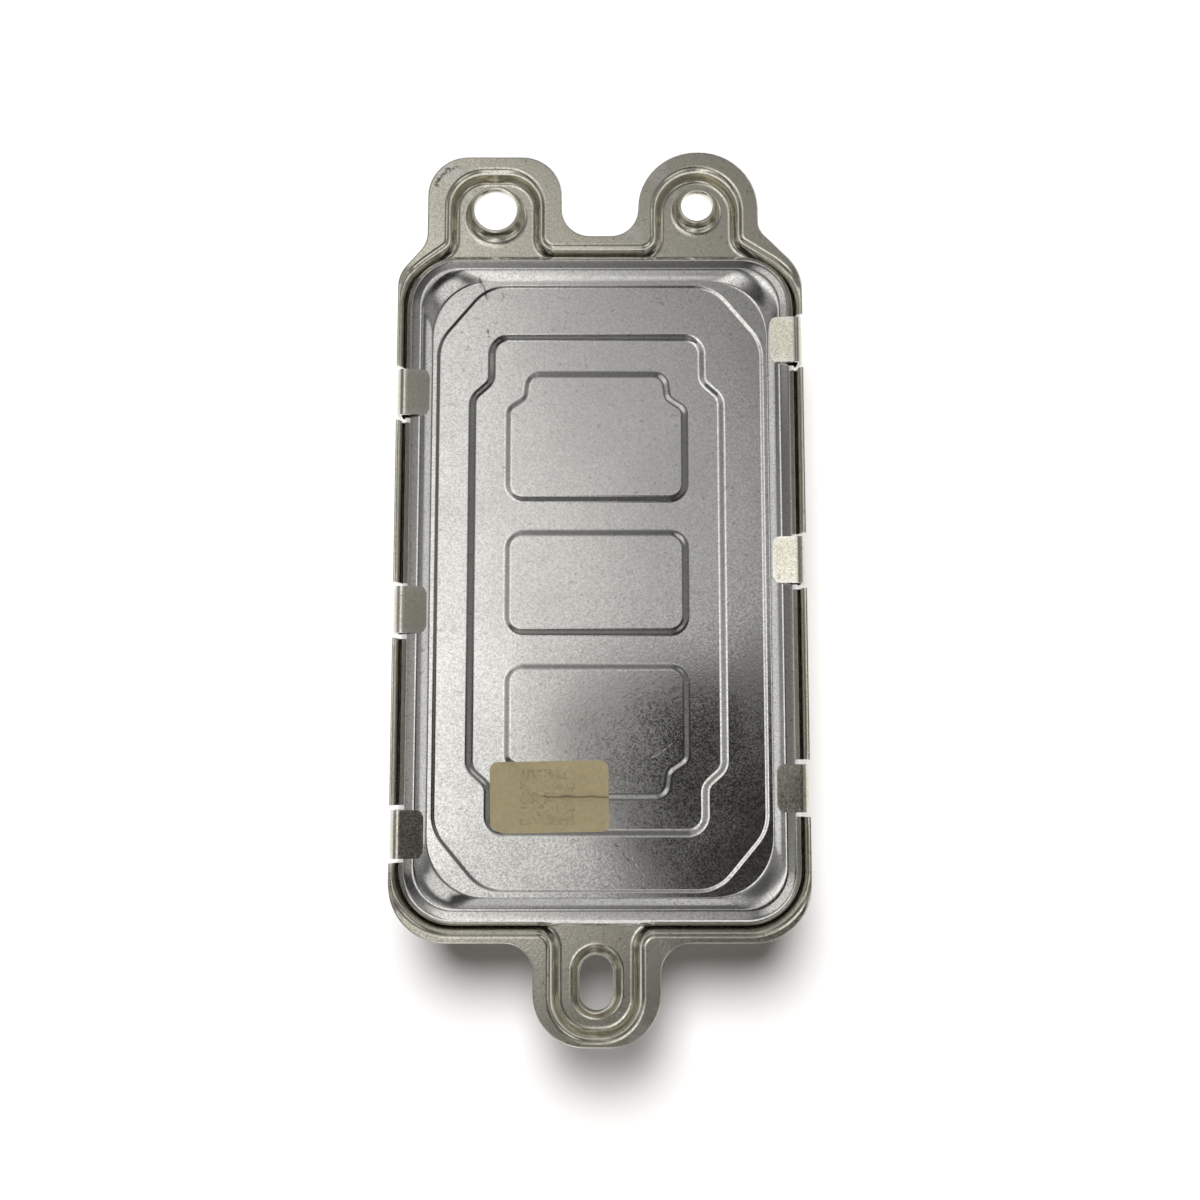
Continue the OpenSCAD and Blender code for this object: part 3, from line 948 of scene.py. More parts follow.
CAN_OUTER: Profile = (
    (1.35, -0.6), (0.95, -0.72), (0.68, -1.1), (0.6, -1.6), (0.46, -16.8), (0.3, -18.1),
    (-0.2, -19.15), (-1.0, -19.8), (-2.2, -20.0),
)
COLLAR: Profile = (
    (1.65, 0), (1.55, 0), (1.3, 0.04), (1.08, 0.14), (0.88, 0.32), (0.72, 0.58), (0.6, 0.98),
    (0.5, 1.28), (0.44, 1.5), (0.36, 1.58), (0.2, 1.6), (0.06, 1.57), (0.0, 1.46), (0.0, 0.5),
    (0.06, 0.1), (0.3, -0.28), (0.7, -0.52), (1.2, -0.6),
)


@dataclass(frozen=True)
class CasePan:
    """The pressed case: can, seat, rim, ears with collars, side lips and folded tabs."""

    sheet: float = 0.6
    seat_z: float = 20.0
    rim_z: float = 22.2
    wall_x: float = 30.0
    zone_head: tuple[float, float] = (49.6, 45.6)
    zone_foot: tuple[float, float] = (-47.6, -43.6)
    zone_x: float = 28.0
    left_tabs: tuple[float, ...] = (29.2, -4.0, -37.1)
    right_tabs: tuple[float, ...] = (37.4, 3.5, -30.4)
    tab_bend: float = 8.5
    loose_tab_bend: float = 1.2
    tab_w: float = 7.0
    tab_x: float = 30.8
    tab_round: float = 1.2
    tab_rise: float = 1.16
    tab_root: Profile = ((29.0, 19.72), (29.9, 19.72), (30.48, 19.9))
    slit: float = 0.7
    gap_x: tuple[float, float] = (29.55, 33.0)
    gap_z: tuple[float, float] = (18.9, 24.0)
    window_y: tuple[float, float] = (42.0, 47.3)
    window_rim: float = 1.6

    def seat_outline(self) -> Outline:
        """Inner face of the rim wall, round the seat and the three ear pans.

        Returns:
            The outline.
        """
        x = self.wall_x
        return Outline((
            Corner(-x, -50.7, 8.3), Corner(-6.5, -50.7, 2.8), Corner(-6.5, -65.75, 5.2),
            Corner(5.3, -65.75, 5.2), Corner(5.3, -50.7, 2.8), Corner(x, -50.7, 8.3),
            Corner(x, 47.4, 8.0), Corner(20.8, 53.2, 2.4), Corner(20.8, 64.1, 5.8),
            Corner(9.1, 64.1, 5.8), Corner(9.1, 51.5, 2.8), Corner(-9.75, 51.5, 2.8),
            Corner(-9.75, 63.8, 4.8), Corner(-22.65, 63.8, 4.8), Corner(-22.65, 52.6, 2.4),
            Corner(-x, 47.2, 8.0),
        ))

    def rim_outline(self) -> Outline:
        """Outer edge of the pressing.

        Returns:
            The outline.
        """
        return Outline((
            Corner(-31.0, -52.8, 8.4), Corner(-9.8, -52.8, 4.3), Corner(-9.8, -67.6, 7.6),
            Corner(8.9, -67.6, 7.6), Corner(8.9, -52.8, 4.3), Corner(31.0, -52.8, 8.4),
            Corner(31.0, 48.6, 7.0), Corner(24.4, 55.2, 3.2), Corner(24.4, 67.6, 9.1),
            Corner(5.9, 67.6, 9.1), Corner(5.9, 54.1, 4.3), Corner(-5.9, 54.1, 4.3),
            Corner(-5.9, 66.8, 6.2), Corner(-26.6, 66.8, 6.2), Corner(-26.6, 53.0, 4.5),
            Corner(-31.0, 48.0, 5.0),
        ))

    def can_outline(self) -> Outline:
        """Inner face of the deep can."""
        return rounded_box(-25.4, 25.4, -45.0, 45.9, 5.4)

    def holes(self) -> tuple[Hole, ...]:
        """The two round holes and the slot.

        Returns:
            The left ear hole, the right ear hole and the slot.
        """
        left = Hole(-16.2, 58.6, 6.6, 6.6, 0.85)
        right = Hole(15.0, 59.2, 4.8, 4.8, 0.6)
        return (left, right, Hole(-0.5, -58.5, 4.8, 8.0))

    def lip_share(self, xy: np.ndarray) -> np.ndarray:
        """How far each point belongs to a side lip, from 0 to 1.

        Args:
            xy: points in plan.

        Returns:
            One share for each point.
        """
        y = xy[:, 1]
        head = ease((self.zone_head[0] - y) / (self.zone_head[0] - self.zone_head[1]))
        foot = ease((y - self.zone_foot[0]) / (self.zone_foot[1] - self.zone_foot[0]))
        return head * foot * ease((np.abs(xy[:, 0]) - self.zone_x) / 1.2)

    def blended(self, mesh: Sheet, outline: Outline, rim: Profile, lip: Profile) -> list[range]:
        """Loops whose profile goes from the flat rim's to the side lip's along the wall.

        Args:
            mesh: the mesh that takes them.
            outline: the outline that each loop grows from.
            rim: the profile at the flat rim.
            lip: the profile at a side lip, with as many points.

        Returns:
            The loops.
        """
        base = outline.loop(0.0)
        share = self.lip_share(base)
        rings = []
        for (g0, z0), (g1, z1) in zip(self.raised(rim), self.raised(lip), strict=True):
            flat, flared = outline.loop(g0), outline.loop(g1)
            xy = flat + (flared - flat) * share[:, None]
            rings.append(mesh.ring(xy, z0 + (z1 - z0) * share))
        mesh.strip(rings)
        return rings

    def raised(self, profile: Profile) -> list[tuple[float, float]]:
        """A profile with its heights counted from the case's underside."""
        return [(grow, self.seat_z + height) for grow, height in profile]

    def pressing(self) -> bpy.types.Object:
        """The pressing before its tabs are cut, as one closed skin.

        Returns:
            The linked object.
        """
        mesh, seat, can = Sheet(), self.seat_outline(), self.can_outline()
        upper = self.blended(mesh, seat, RIM_UPPER, LIP_UPPER)
        edge = self.blended(mesh, self.rim_outline(), RIM_EDGE, LIP_EDGE)
        lower = self.blended(mesh, seat, RIM_LOWER, LIP_LOWER)
        mesh.fill(edge[0], [upper[-1]])
        mesh.fill(edge[-1], [lower[0]])
        into, round_can = (mesh.walls(can, self.raised(p)) for p in (CAN_INNER, CAN_OUTER))
        ends = [mesh.walls(hole, self.raised(COLLAR)) for hole in self.holes()]
        mesh.fill(upper[0], [into[0], *(top for top, _ in ends)], 3.0)
        mesh.fill(lower[-1], [round_can[0], *(bottom for _, bottom in ends)], 3.0)
        mesh.fill(into[-1], (), 6.0)
        mesh.fill(round_can[-1], (), 6.0)
        return mesh.build("case_pressing")

    def tab_path(self, bend: float) -> np.ndarray:
        """A tab's middle line: up the wall, over the crest and inwards, as X and Z.

        Args:
            bend: its slope towards the middle of the case, in degrees.

        Returns:
            An array of points, one row each.
        """
        half, slope = self.sheet / 2, math.radians(bend)
        crest = self.rim_z + self.tab_rise
        wall, turn = self.tab_x - half, self.tab_round - half
        x, z = wall - turn, crest - half - turn
        line = [*self.tab_root, (wall, crest - self.tab_round - 0.2)]
        for angle in np.linspace(15, 90 + bend, 8):
            q = math.radians(angle)
            line.append((x + turn * math.cos(q), z + turn * math.sin(q)))
        x, z = line[-1]
        for s in np.linspace(0.35, 3.6, 10):
            line.append((x - s * math.cos(slope), z - s * math.sin(slope)))
        return np.array(line)

    def tab(self, way: int, y: float, bend: float) -> bpy.types.Object:
        """One folded tab.

        Args:
            way: 1 on the right wall, -1 on the left wall.
            y: its place along the wall.
            bend: its slope towards the middle of the case, in degrees.

        Returns:
            The tab as a closed skin that reaches into the seat.
        """
        path, cut, half = self.tab_path(bend), 1.0, self.sheet / 2
        run = np.concatenate([[0], np.cumsum(np.linalg.norm(np.diff(path, axis=0), axis=1))])
        tangent = np.gradient(path, axis=0)
        tangent /= np.linalg.norm(tangent, axis=1)[:, None]
        normal = np.stack([tangent[:, 1], -tangent[:, 0]], axis=1)
        across = np.linspace(-1, 1, 9)
        last = len(across) - 1
        work, rows = bmesh.new(), []
        for i, spot in enumerate(path):
            left = max(0.0, cut - (run[-1] - run[i]))
            width = self.tab_w / 2 - (cut - math.sqrt(max(0.0, cut * cut - left * left)))
            row = []
            for side in (1, -1):
                x, z = spot + normal[i] * half * side
                places = ((way * x, y + width * v, z) for v in across)
                row.append([work.verts.new([c * MM for c in place]) for place in places])
            rows.append(row)
        for a, b in zip(rows, rows[1:]):
            for j in range(last):
                for p, q in zip(a, b, strict=True):
                    work.faces.new([p[j], p[j + 1], q[j + 1], q[j]])
            for j in (0, last):
                work.faces.new([a[0][j], b[0][j], b[1][j], a[1][j]])
        for top, bottom in (rows[0], rows[-1]):
            for j in range(last):
                work.faces.new([top[j], top[j + 1], bottom[j + 1], bottom[j]])
        bmesh.ops.recalc_face_normals(work, faces=work.faces)
        return finished(work, "tab")

    def build(self, finish: PlatedSheet) -> None:
        """Build the case, cut its tabs free, and dress it.

        Args:
            finish: the case's finish.
        """
        case = self.pressing()
        reach = self.tab_w / 2 + self.slit
        for way, places in ((-1, self.left_tabs), (1, self.right_tabs)):
            x0, x1 = sorted(way * x for x in self.gap_x)
            for y in places:
                lo, hi = (x0, y - reach, self.gap_z[0]), (x1, y + reach, self.gap_z[1])
                cut_with(case, box_mesh("tab_gap", lo, hi), "DIFFERENCE")
                bend = self.loose_tab_bend if y == self.right_tabs[-1] else self.tab_bend
                cut_with(case, self.tab(way, y, bend), "UNION")
        rim = self.window_rim
        for node in ("power_header", "lamp_socket"):
            lo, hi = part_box(node)
            y0, y1 = sorted(math.copysign(y, hi.y) for y in self.window_y)
            lo = (lo.x / MM + rim, y0, lo.z / MM + rim)
            hi = (hi.x / MM - rim, y1, hi.z / MM - rim)
            cut_with(case, box_mesh("window", lo, hi), "DIFFERENCE")
        even_shading(case)
        dress(case, finish.material())
        add_piece(case, "tinned_steel", "case_pan")


# ---------------- cover


RECESS_STEPS: Sequence[Rgb] = ((0, 9.5, 2.4), (2.9, 6.9, 2.2), (2.9, 0, 2.6))
PAD_PLAIN: Sequence[Rgb] = ((0, 0, 2.4),)
PAD_NOTCH: Sequence[Rgb] = ((0, 5.4, 1.6), (2.6, 3.7, 1.5), (3.0, 0, 1.9))


@dataclass(frozen=True)
class CoverPlate:
    """The embossed cover: border, eight-sided panel, notched recess and three pads.

    Border lists distance outwards, height and the tilt of the outer face in degrees, from
    the skirt's foot to the crown. Slope lists the shares of the way in and of the way down
    from the crown to the land.
    """

    sheet: float = 0.6
    land_z: float = 21.22
    panel_z: float = 21.1
    recess_z: float = 20.8
    pad_z: float = 21.0
    skirt_z: float = 20.5
    panel_half: float = 0.3
    recess_half: float = 0.64
    pad_half: float = 0.62
    waviness: float = 0.02
    border: tuple[Rgb, ...] = (
        (0.0, 20.5, 90), (-0.03, 20.9, 84), (-0.08, 21.2, 70), (-0.18, 21.42, 52),
        (-0.4, 21.64, 41), (-0.65, 21.85, 39), (-0.9, 22.05, 36), (-1.02, 22.13, 26),
        (-1.16, 22.19, 17), (-1.4, 22.25, 13), (-1.7, 22.315, 12), (-2.0, 22.375, 10),
        (-2.2, 22.415, 8), (-2.35, 22.44, 5),
    )
    slope: Profile = (
        (0.1, 0.01), (0.2, 0.06), (0.34, 0.17), (0.48, 0.33), (0.62, 0.52), (0.74, 0.7),
        (0.84, 0.84), (0.91, 0.93), (0.96, 0.985), (1.0, 1.0), (1.04, 1.0),
    )

    def slope_foot(self) -> Outline:
        """Where the border's inner slope meets the land, wider at the corners."""
        shape = rounded_box(-25.6, 25.6, -46.3, 47.05, 8.8)
        return replace(shape, counts=self.edge().run_counts())

    def edge(self) -> Outline:
        """The cover's outer edge."""
        return rounded_box(-29.8, 29.8, -50.45, 51.2, 8.2)

    def panel(self) -> Outline:
        """The eight-sided panel's edge.

        Returns:
            The outline.
        """
        x, cut_x, cut_y, head, foot = 24.75, 7.4, 8.8, 46.3, -45.4
        return Outline(tuple(Corner(a, b, 6.4) for a, b in (
            (-x + cut_x, foot), (x - cut_x, foot), (x, foot + cut_y), (x, head - cut_y),
            (x - cut_x, head), (-x + cut_x, head), (-x, head - cut_y), (-x, foot + cut_y),
        )))

    def recess(self) -> Outline:
        """The notched recess's edge."""
        return stepped_box((-19.5, 18.5), (-37.0, 38.3), RECESS_STEPS, RECESS_STEPS)

    def pads(self) -> tuple[Outline, ...]:
        """The three pads' edges, from the head down.

        Returns:
            The outlines.
        """
        return (
            stepped_box((-14.0, 12.9), (13.1, 32.5), PAD_PLAIN, PAD_NOTCH),
            stepped_box((-14.0, 12.9), (-7.2, 7.9), PAD_PLAIN, PAD_PLAIN),
            stepped_box((-13.9, 12.9), (-31.7, -12.4), PAD_NOTCH, PAD_PLAIN),
        )

    def skin(self, mesh: Sheet, down: float) -> range:
        """One face of the sheet.

        Args:
            mesh: the mesh that takes it.
            down: how far it lies under the outer face.

        Returns:
            The loop at the skirt's lower edge.
        """

        def step(shape: Outline, half: float, z0: float, z1: float, facets: int = 10) -> tuple:
            """The bands of one pressed step, from a height outside it to one inside."""
            return mesh.walls(shape, bend_profile(half, z0 - down, -half, z1 - down, facets))

        profile = []
        for grow, z, tilt in self.border:
            lean = math.radians(tilt)
            sink = down * math.cos(lean) if z > self.skirt_z else 0.0
            profile.append((grow - down * math.sin(lean), z - sink))
        skirt, crown = mesh.walls(self.edge(), profile)
        grow, top = profile[-1]
        outer, inner = self.edge().loop(grow), self.slope_foot().loop()
        fall = top - (self.land_z - down)
        rings = [crown]
        for share, drop in self.slope:
            rings.append(mesh.ring(outer + (inner - outer) * share, top - fall * drop))
        mesh.strip(rings)
        panel = step(self.panel(), self.panel_half, self.land_z, self.panel_z, 6)
        recess = step(self.recess(), self.recess_half, self.panel_z, self.recess_z)
        mesh.fill(rings[-1], [panel[0]], 1.5)
        mesh.fill(panel[1], [recess[0]], 2.5)
        edges = []
        for pad in self.pads():
            low, high = step(pad, self.pad_half, self.recess_z, self.pad_z)
            mesh.fill(high, (), 2.5)
            edges.append(low)
        mesh.fill(recess[1], edges, 2.5)
        return skirt

    def settle(self, points: np.ndarray) -> np.ndarray:
        """The slight waviness that pressing leaves in the flats.

        Args:
            points: the cover's points.

        Returns:
            The moved points.
        """
        x, y = points[:, 0], points[:, 1]
        calm = ease((27.0 - np.abs(x)) / 5.0) * ease((47.5 - np.abs(y)) / 5.0)
        wave = np.sin(x * 0.21 + 1.1) * np.sin(y * 0.13 + 0.4) + 0.6 * np.sin(x * 0.09 - y * 0.11)
        moved = points.copy()
        moved[:, 2] += self.waviness * wave * calm
        return moved

    def build(self, finish: PlatedSheet) -> None:
        """Build the cover and dress it.

        Args:
            finish: the cover's finish.
        """
        mesh = Sheet()
        outer, inner = self.skin(mesh, 0.0), self.skin(mesh, self.sheet)
        mesh.bridge(outer, inner)
        cover = mesh.build("cover", self.settle)
        even_shading(cover)
        dress(cover, finish.material())
        add_piece(cover, "plated_steel", "cover_plate")


# ---------------- seal and label


@dataclass(frozen=True)
class SealBead:
    """The dark sealant under the cover's skirt: distance outwards and height."""

    profile: Profile = (
        (-1.5, 20.02), (-0.1, 20.02), (0.02, 20.2), (0.04, 20.42), (-0.04, 20.49),
        (-0.5, 20.5), (-1.2, 20.4), (-1.5, 20.2),
    )

    def build(self, finish: Moulded) -> None:
        """Build the bead and dress it.

        Args:
            finish: the bead's finish.
        """
        mesh, edge = Sheet(), CoverPlate().edge()
        rings = [mesh.ring(edge.loop(grow), z) for grow, z in self.profile]
        mesh.strip([*rings, rings[0]])
        bead = mesh.build("seal")
        dress(bead, finish.material())
        add_piece(bead, "seal_rubber", "seal_bead")


@dataclass(frozen=True)
class DataLabel:
    """A small film label that lies across the lowest pad's edge."""

    x: float = -7.5
    y: float = -31.7
    wide: float = 17.6
    high: float = 10.5
    film: float = 0.1
    tilt: float = 1.0
    lift: float = 0.05
    base: Rgb = (0.272, 0.232, 0.137)
    print_colour: Rgb = (0.165, 0.14, 0.088)
    # Colour of the painted shade along the crease.
    crease_shade_colour: Rgb = (0.07, 0.055, 0.035)
    cell: float = 0.36
    print_half: float = 4.1

    def height(self, xy: np.ndarray) -> np.ndarray:
        """Height of the film over the cover's relief.

        Args:
            xy: points in plan.

        Returns:
            One height for each point.
        """
        cover = CoverPlate()
        pad = distance(xy, cover.pads()[2].loop())
        rise = 1 - ease((pad + cover.pad_half) / (2 * cover.pad_half))
        z = cover.recess_z + (cover.pad_z - cover.recess_z) * rise
        wrinkle = 0.05 * np.exp(-((pad + 0.15) / 0.3) ** 2) * (1 + np.sin(xy[:, 0] * 2.1))
        return z + self.lift + wrinkle

    def build(self) -> None:
        """Build the label and dress it."""
        w, h = self.wide / 2, self.high / 2
        shape = Outline(rounded_box(-w, w, -h, h, 1.2).corners, stride=0.6)
        mesh = Sheet()
        tops = []
        for level in (0.0, -self.film):
            ring = mesh.ring(shape.loop(), level)
            mesh.fill(ring, (), 0.45)
            tops.append(ring)
        mesh.bridge(tops[0], tops[1])
        angle = math.radians(self.tilt)

        def lay(points: np.ndarray) -> np.ndarray:
            """Turn the film into place and drape it over the relief.

            Args:
                points: points of the flat film.

            Returns:
                The placed points.
            """
            c, s = math.cos(angle), math.sin(angle)
            x = self.x + points[:, 0] * c - points[:, 1] * s
            y = self.y + points[:, 0] * s + points[:, 1] * c
            z = self.height(np.stack([x, y], axis=1)) + points[:, 2] + self.film
            return np.stack([x, y, z], axis=1)

        label = mesh.build("label", lay)
        dress(label, self.material())
        add_piece(label, "label_film", "data_label")

    def material(self) -> bpy.types.Material:
        """Matt olive film with a faint, meaningless dot pattern and a crease, grooved and darkened
        with painted shade.

        Returns:
            The material.
        """
        mat, tree, shader = new_material("label_film")
        place = tree.millimetres()
        x, y, _ = tree.parts(place)
        cells = tree.vector("FLOOR", tree.scaled(place, 1 / self.cell), (0.0, 0.0, 0.0))
        flat = tree.vector("MULTIPLY", cells, (1.0, 1.0, 0.0))
        chance = tree.add("TexWhiteNoise", {"Vector": flat}, noise_dimensions="3D").outputs["Value"]
        code = tree.math("GREATER_THAN", chance, 0.52)
        for value, middle in ((x, self.x - 0.3), (y, self.y)):
            off = tree.size(tree.minus(value, middle))
            code = tree.times(code, tree.math("LESS_THAN", off, self.print_half))
        code = tree.times(code, tree.span(tree.noise(place, 1.6, 3.0), 0.38, 0.6, 0.15, 0.6))
        grain = effect(tree, Effect.GRAIN, Size=0.35)
        cloud = effect(tree, Effect.SMUDGE, Size=5.0)["Cloud"]
        colour = tree.mix(grain["Shade"], tinted(self.base, 0.93), tinted(self.base, 1.08))
        colour = tree.coat(cloud, 0.25, colour, tinted(self.base, 0.75))
        colour = tree.mix(code, colour, tinted(self.print_colour))
        # The crease: a groove in the relief with painted shade along it.
        waver = tree.times(tree.minus(tree.noise(place, 2.2), 0.5), 0.8)
        off = tree.size(tree.plus(tree.minus(y, self.y + 0.05), waver))
        crease = tree.times(tree.span(off, 0.04, 0.2, 1.0, 0.0), tree.span(x, -9.5, -8.0))
        colour = tree.coat(crease, 0.7, colour, tinted(self.crease_shade_colour))
        rough, height = tree.between(cloud, 0.42, 0.55), tree.minus(grain["Height"], crease)
        tree.surface(shader, colour, rough, height, 0.02)
        shader.inputs["Specular IOR Level"].default_value = 0.6
        return mat


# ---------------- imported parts


FINISHES: tuple[Moulded, ...] = (
    Moulded("insulating_film", (0.50, 0.36, 0.14), 0.3),
    Moulded("fastener_steel", (0.6, 0.6, 0.58), 0.32, metallic=1.0),
    Moulded("board_laminate", (0.02, 0.13, 0.05), 0.35, 0.5),
    Moulded("ferrite", (0.035, 0.035, 0.038), 0.6, 0.3, 0.02),
    Moulded("bobbin_plastic", (0.10, 0.045, 0.02), 0.5),
    Moulded("winding_copper", (0.62, 0.22, 0.08), 0.28, 0.35, 0.05, metallic=1.0),
    Moulded("capacitor_sleeve", (0.03, 0.035, 0.05), 0.3),
    Moulded("film_capacitor_resin", (0.42, 0.07, 0.03), 0.25),
    Moulded("bar_aluminium", (0.74, 0.75, 0.77), 0.38, 0.25, 0.02, metallic=1.0, stretch=0.1),
    Moulded("chip_resin", (0.012, 0.012, 0.014), 0.45, 0.15, 0.01),
    Moulded("spring_steel", (0.62, 0.61, 0.58), 0.3, metallic=1.0, stretch=0.1),
    Moulded("capacitor_ceramic", (0.46, 0.31, 0.16), 0.4),
    Moulded("resistor_ceramic", (0.02, 0.02, 0.024), 0.35),
    Moulded("shunt_alloy", (0.62, 0.34, 0.2), 0.3, metallic=1.0, stretch=0.1),
    Moulded("fuse_ceramic", (0.72, 0.68, 0.58), 0.3),
    Moulded("gap_filler", (0.25, 0.27, 0.36), 0.7, 0.3, 0.03),
    Moulded("spring_bronze", (0.7, 0.45, 0.17), 0.3, metallic=1.0, stretch=0.1),
    Moulded("connector_plastic", (0.014, 0.015, 0.017), 0.42, 0.12, 0.012),
    Moulded("contact_metal", (0.76, 0.56, 0.22), 0.22, metallic=1.0),
    Moulded("connector_seal", (0.32, 0.06, 0.03), 0.55),
)


def dress_packed(skipped: Sequence[str]) -> None:
    """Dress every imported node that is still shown, with softened edges.

    Args:
        skipped: nodes that another piece stands for.
    """
    made = {finish.name: finish.material() for finish in FINISHES}
    slots = {s["node"]: s["material_slot"] for s in frame["record"]["subparts"]}
    for node, obj in frame["nodes"].items():
        if node in skipped:
            continue
        dress(obj, made[slots[node]])
        lo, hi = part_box(node)
        thin = min(hi - lo)
        soft = obj.modifiers.new("soft_edges", "BEVEL")
        soft.width = min(0.2 * MM, thin * 0.12)
        soft.segments = 2
        soft.limit_method = "ANGLE"
        soft.angle_limit = math.radians(40)
        obj.data.shade_smooth()
        even_shading(obj)
        LOG.info("%s: dressed as %s", node, slots[node])


# ---------------- studio


@dataclass(frozen=True)
class Studio:
    """Pale floor, soft light and the camera.

    Across and along list the room's brightness by slope, to the right and to the head. Each
    spot is a middle and two radii on the same slopes.
    """

    lens: float = 42.0
    eye: Rgb = (0.0, -27.0, 230.2)
    aim: Rgb = (0.0, -2.5, 22.2)
    across: Profile = (
        (-1.2, 0.3), (-0.55, 0.36), (-0.4, 0.6), (-0.28, 1.15), (-0.16, 1.2), (-0.1, 1.08),
        (-0.06, 0.86), (0.0, 0.65), (0.05, 0.51), (0.1, 0.45), (0.15, 0.3), (0.22, 0.17),
        (0.6, 0.18), (1.2, 0.3),
    )
    along: Profile = (
        (-1.2, 1.0), (-0.6, 0.9), (-0.4, 0.4), (-0.25, 0.14), (-0.17, 0.13), (-0.13, 0.36),
        (-0.09, 1.0), (0.0, 1.15), (0.1, 1.12), (0.2, 1.0), (0.36, 0.74), (0.44, 0.6),
        (0.55, 0.36), (0.75, 0.28), (1.2, 0.4),
    )
    dark: Rgba = (0.19, -0.05, 0.24, 0.17)
    dark_level: float = 0.03
    glow: Rgba = (0.62, 0.6, 0.45, 0.45)
    glow_middle: float = 0.12
    glow_level: float = 0.85
    horizon: tuple[float, float] = (1.12, 0.62)
    diffuse_share: float = 0.12
    floor_reach: float = 8.0
    floor_z: float = -0.05
    sun_power: float = 3.95
    sun_angle: float = 26.0
    sun_way: Rgb = (-0.07, 0.47, 1.0)

    def build(self) -> None:
        """Set up floor, lights and camera."""
        self.floor()
        self.surroundings()
        self.key_light()
        self.camera()

    def floor(self) -> None:
        """A wide, plain, pale floor under the module."""
        mesh = bpy.data.meshes.new("floor")
        r = self.floor_reach
        mesh.from_pydata([(-r, -r, 0), (r, -r, 0), (r, r, 0), (-r, r, 0)], [], [(0, 1, 2, 3)])
        obj = placed("floor", mesh)
        obj.location.z = self.floor_z * MM
        mat, _, shader = new_material("floor_paper")
        shader.inputs["Base Color"].default_value = grey(0.87)
        shader.inputs["Roughness"].default_value = 0.9
        dress(obj, mat)

    def surroundings(self) -> None:
        """The room that the metal mirrors: lit from the left, darker right and in front."""
        world = bpy.data.worlds.new("room")
        bpy.context.scene.world = world
        world.use_nodes = True
        tree = Tree(world.node_tree)
        right, ahead, up = tree.parts(tree.add("TexCoord").outputs["Generated"])
        steep = tree.math("MAXIMUM", up, 0.02)
        across, along = tree.over(right, steep), tree.over(ahead, steep)
        level = tree.times(self.ramp(tree, across, self.across), self.ramp(tree, along, self.along))
        off = tree.size(tree.minus(along, self.glow_middle))
        glow = tree.span(self.spread(tree, across, off, self.glow), 0.5, 1.0, 1.0, 0.0)
        level = tree.mix_value(glow, level, self.glow_level)
        patch = tree.span(self.spread(tree, across, along, self.dark), 0.9, 1.1, 1.0, 0.0)
        patch = tree.times(patch, tree.span(along, 0.055, 0.085, 1.0, 0.0))
        lean = tree.plus(tree.times(across, 0.815), tree.times(along, 0.58))
        patch = tree.times(patch, tree.span(lean, -0.034, -0.014))
        level = tree.mix_value(patch, level, self.dark_level)
        low = tree.span(up, 0.2, 0.5, 1.0, 0.0)
        warm = tree.mix(patch, (1.0, 0.985, 0.95, 1), (1.0, 0.93, 0.86, 1))
        rim = tree.scaled((1.0, 0.99, 0.965), tree.span(ahead, -0.7, 0.7, *self.horizon))
        colour = tree.mix(low, tree.scaled(warm, level), rim)
        rays = tree.add("LightPath").outputs
        colour = tree.mix(rays["Is Camera Ray"], colour, grey(1.0))
        strength = tree.between(rays["Is Diffuse Ray"], 1.0, self.diffuse_share)
        background = world.node_tree.nodes["Background"]
        tree.feed(background.inputs["Color"], colour)
        tree.feed(background.inputs["Strength"], strength)

    @staticmethod
    def spread(tree: Tree, across: Socket, along: Socket, spot: Rgba) -> Socket:
        """How far a direction lies from a spot's middle, counted in the spot's radii.

        Args:
            tree: the room's tree.
            across: slope of the direction to the right.
            along: slope of the direction to the head.
            spot: the spot's middle and its two radii.

        Returns:
            The distance.
        """
        off_x = tree.over(tree.minus(across, spot[0]), spot[2])
        off_y = tree.over(tree.minus(along, spot[1]), spot[3])
        return tree.math("SQRT", tree.plus(tree.times(off_x, off_x), tree.times(off_y, off_y)))

    @staticmethod
    def ramp(tree: Tree, value: Socket, stops: Profile) -> Socket:
        """A level that runs smoothly through stops of place and level.

        Args:
            tree: the room's tree.
            value: the place on the ramp.
            stops: pairs of place and level.

        Returns:
            The level.
        """
        lo, hi = stops[0][0], stops[-1][0]
        share = tree.add("MapRange", {"Value": value, "From Min": lo, "From Max": hi}).outputs[0]
        node = tree.add("FloatCurve", {"Value": share})
        curve = node.mapping.curves[0]
        spots = [((place - lo) / (hi - lo), level / 2) for place, level in stops]
        curve.points[0].location, curve.points[-1].location = spots[0], spots[-1]
        for spot in spots[1:-1]:
            curve.points.new(*spot)
        node.mapping.update()
        return tree.times(node.outputs[0], 2.0)

    def key_light(self) -> None:
        """One large soft light, high and a little to the head and the left."""
        data = bpy.data.lights.new("key", "SUN")
        data.energy = self.sun_power
        data.angle = math.radians(self.sun_angle)
        data.color = (1.0, 0.99, 0.98)
        obj = placed("key", data)
        obj.rotation_euler = Vector(self.sun_way).to_track_quat("Z", "Y").to_euler()
        obj.visible_glossy = False

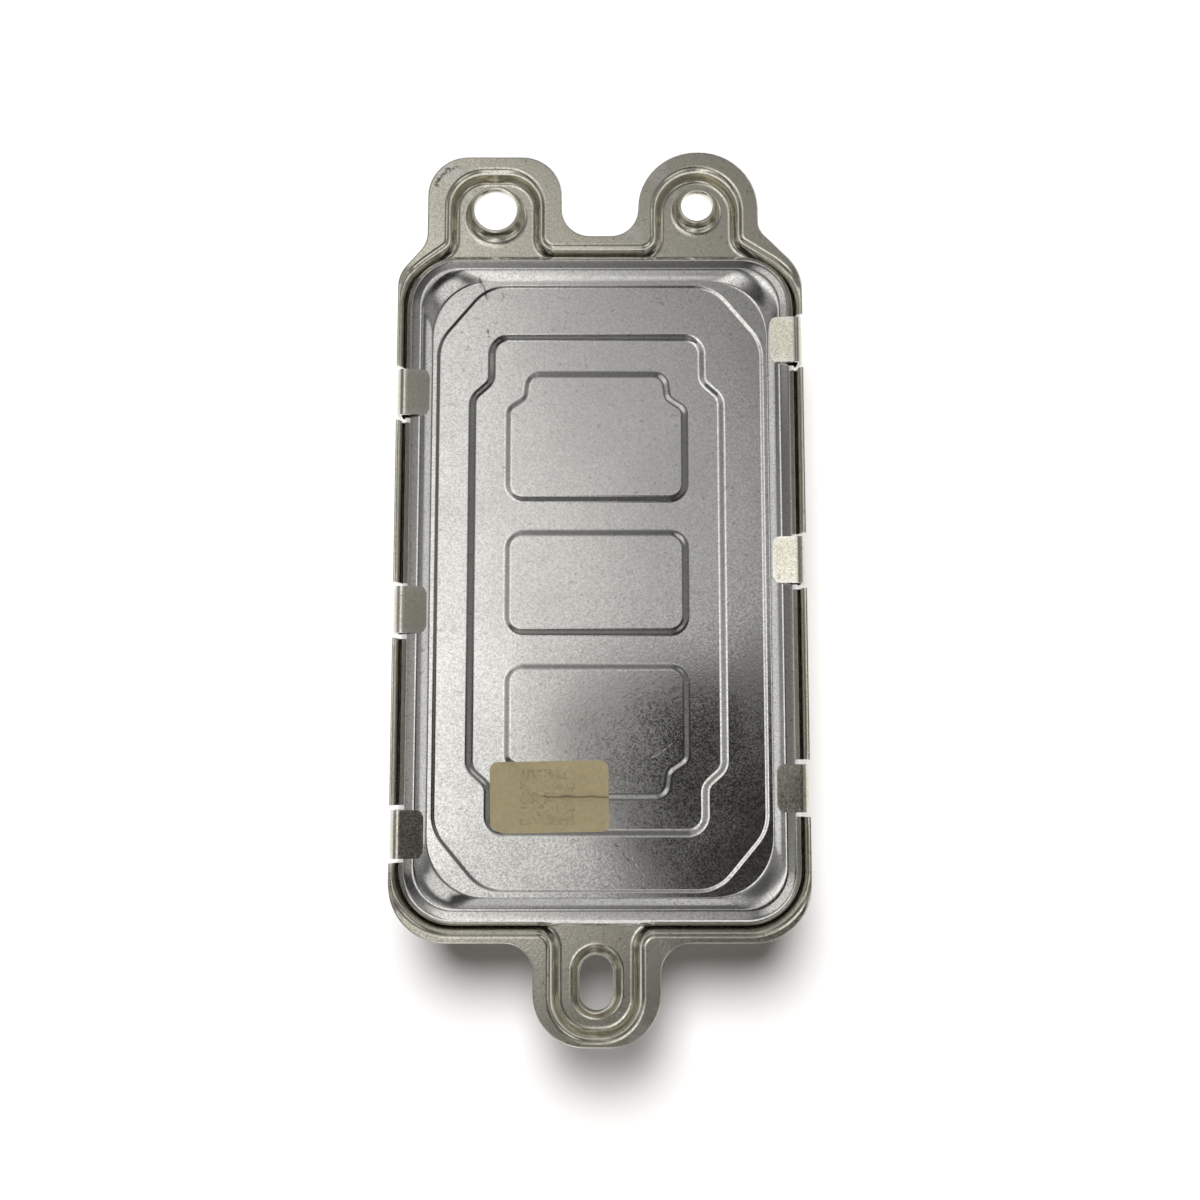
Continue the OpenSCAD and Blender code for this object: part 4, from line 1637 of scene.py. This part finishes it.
    def camera(self) -> None:
        """The camera, looking almost straight down on the cover."""
        data = bpy.data.cameras.new("camera")
        data.lens, data.sensor_width = self.lens, 36.0
        data.clip_start, data.clip_end = 0.01, 20.0
        obj = placed("camera", data)
        obj.location = Vector(self.eye) * MM
        look = (Vector(self.eye) - Vector(self.aim)) * MM
        obj.rotation_euler = look.to_track_quat("Z", "Y").to_euler()
        bpy.context.scene.camera = obj
        bpy.context.scene.view_settings.view_transform = "Standard"


# ---------------- whole module


TIN_MARKS = (
    ScratchPlace(-24.2, 64.0, 42, 3.0, 0.5, dark=True),
    ScratchPlace(-22.9, 65.1, 12, 2.6, 0.4, dark=True),
    ScratchPlace(-25.1, 62.7, 60, 1.8, 0.4, dark=True),
)
NICKEL_MARKS = (
    ScratchPlace(5.4, -42.0, -58, 4.5, 0.12),
    ScratchPlace(19.5, -34.5, -75, 4.0, 0.1),
    ScratchPlace(16.0, -33.0, 20, 3.0, 0.1),
    ScratchPlace(9.0, -25.0, 35, 5.0, 0.08),
    ScratchPlace(-17.9, 46.0, -72, 4.4, 0.42, dark=True),
    ScratchPlace(-17.1, 38.9, -80, 1.7, 0.3, dark=True),
    ScratchPlace(3.3, -39.8, -52, 4.6, 0.13, dark=True),
    ScratchPlace(23.0, -28.5, 60, 2.6, 0.12),
)
TIN = PlatedSheet("tinned_steel", (0.74, 0.72, 0.63), 0.2, 0.17, 0.006, 0.16, 0.6, TIN_MARKS)
NICKEL = PlatedSheet("plated_steel", (0.7, 0.7, 0.69), 0.13, 0.2, 0.0032, 0.2, 0.5, NICKEL_MARKS)
RUBBER = Moulded("seal_rubber", (0.012, 0.012, 0.013), 0.6, 0.3, 0.02)


def main() -> None:
    """Build the pieces in order, from the case inwards, then the studio."""
    logging.basicConfig(level=logging.INFO, format="%(name)s: %(message)s")
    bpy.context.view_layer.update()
    make_effects()
    CasePan().build(TIN)
    CoverPlate().build(NICKEL)
    SealBead().build(RUBBER)
    DataLabel().build()
    dress_packed(("case_pan", "cover_plate", "seal_bead", "data_label"))
    Studio().build()


if __name__ == "__main__":
    main()
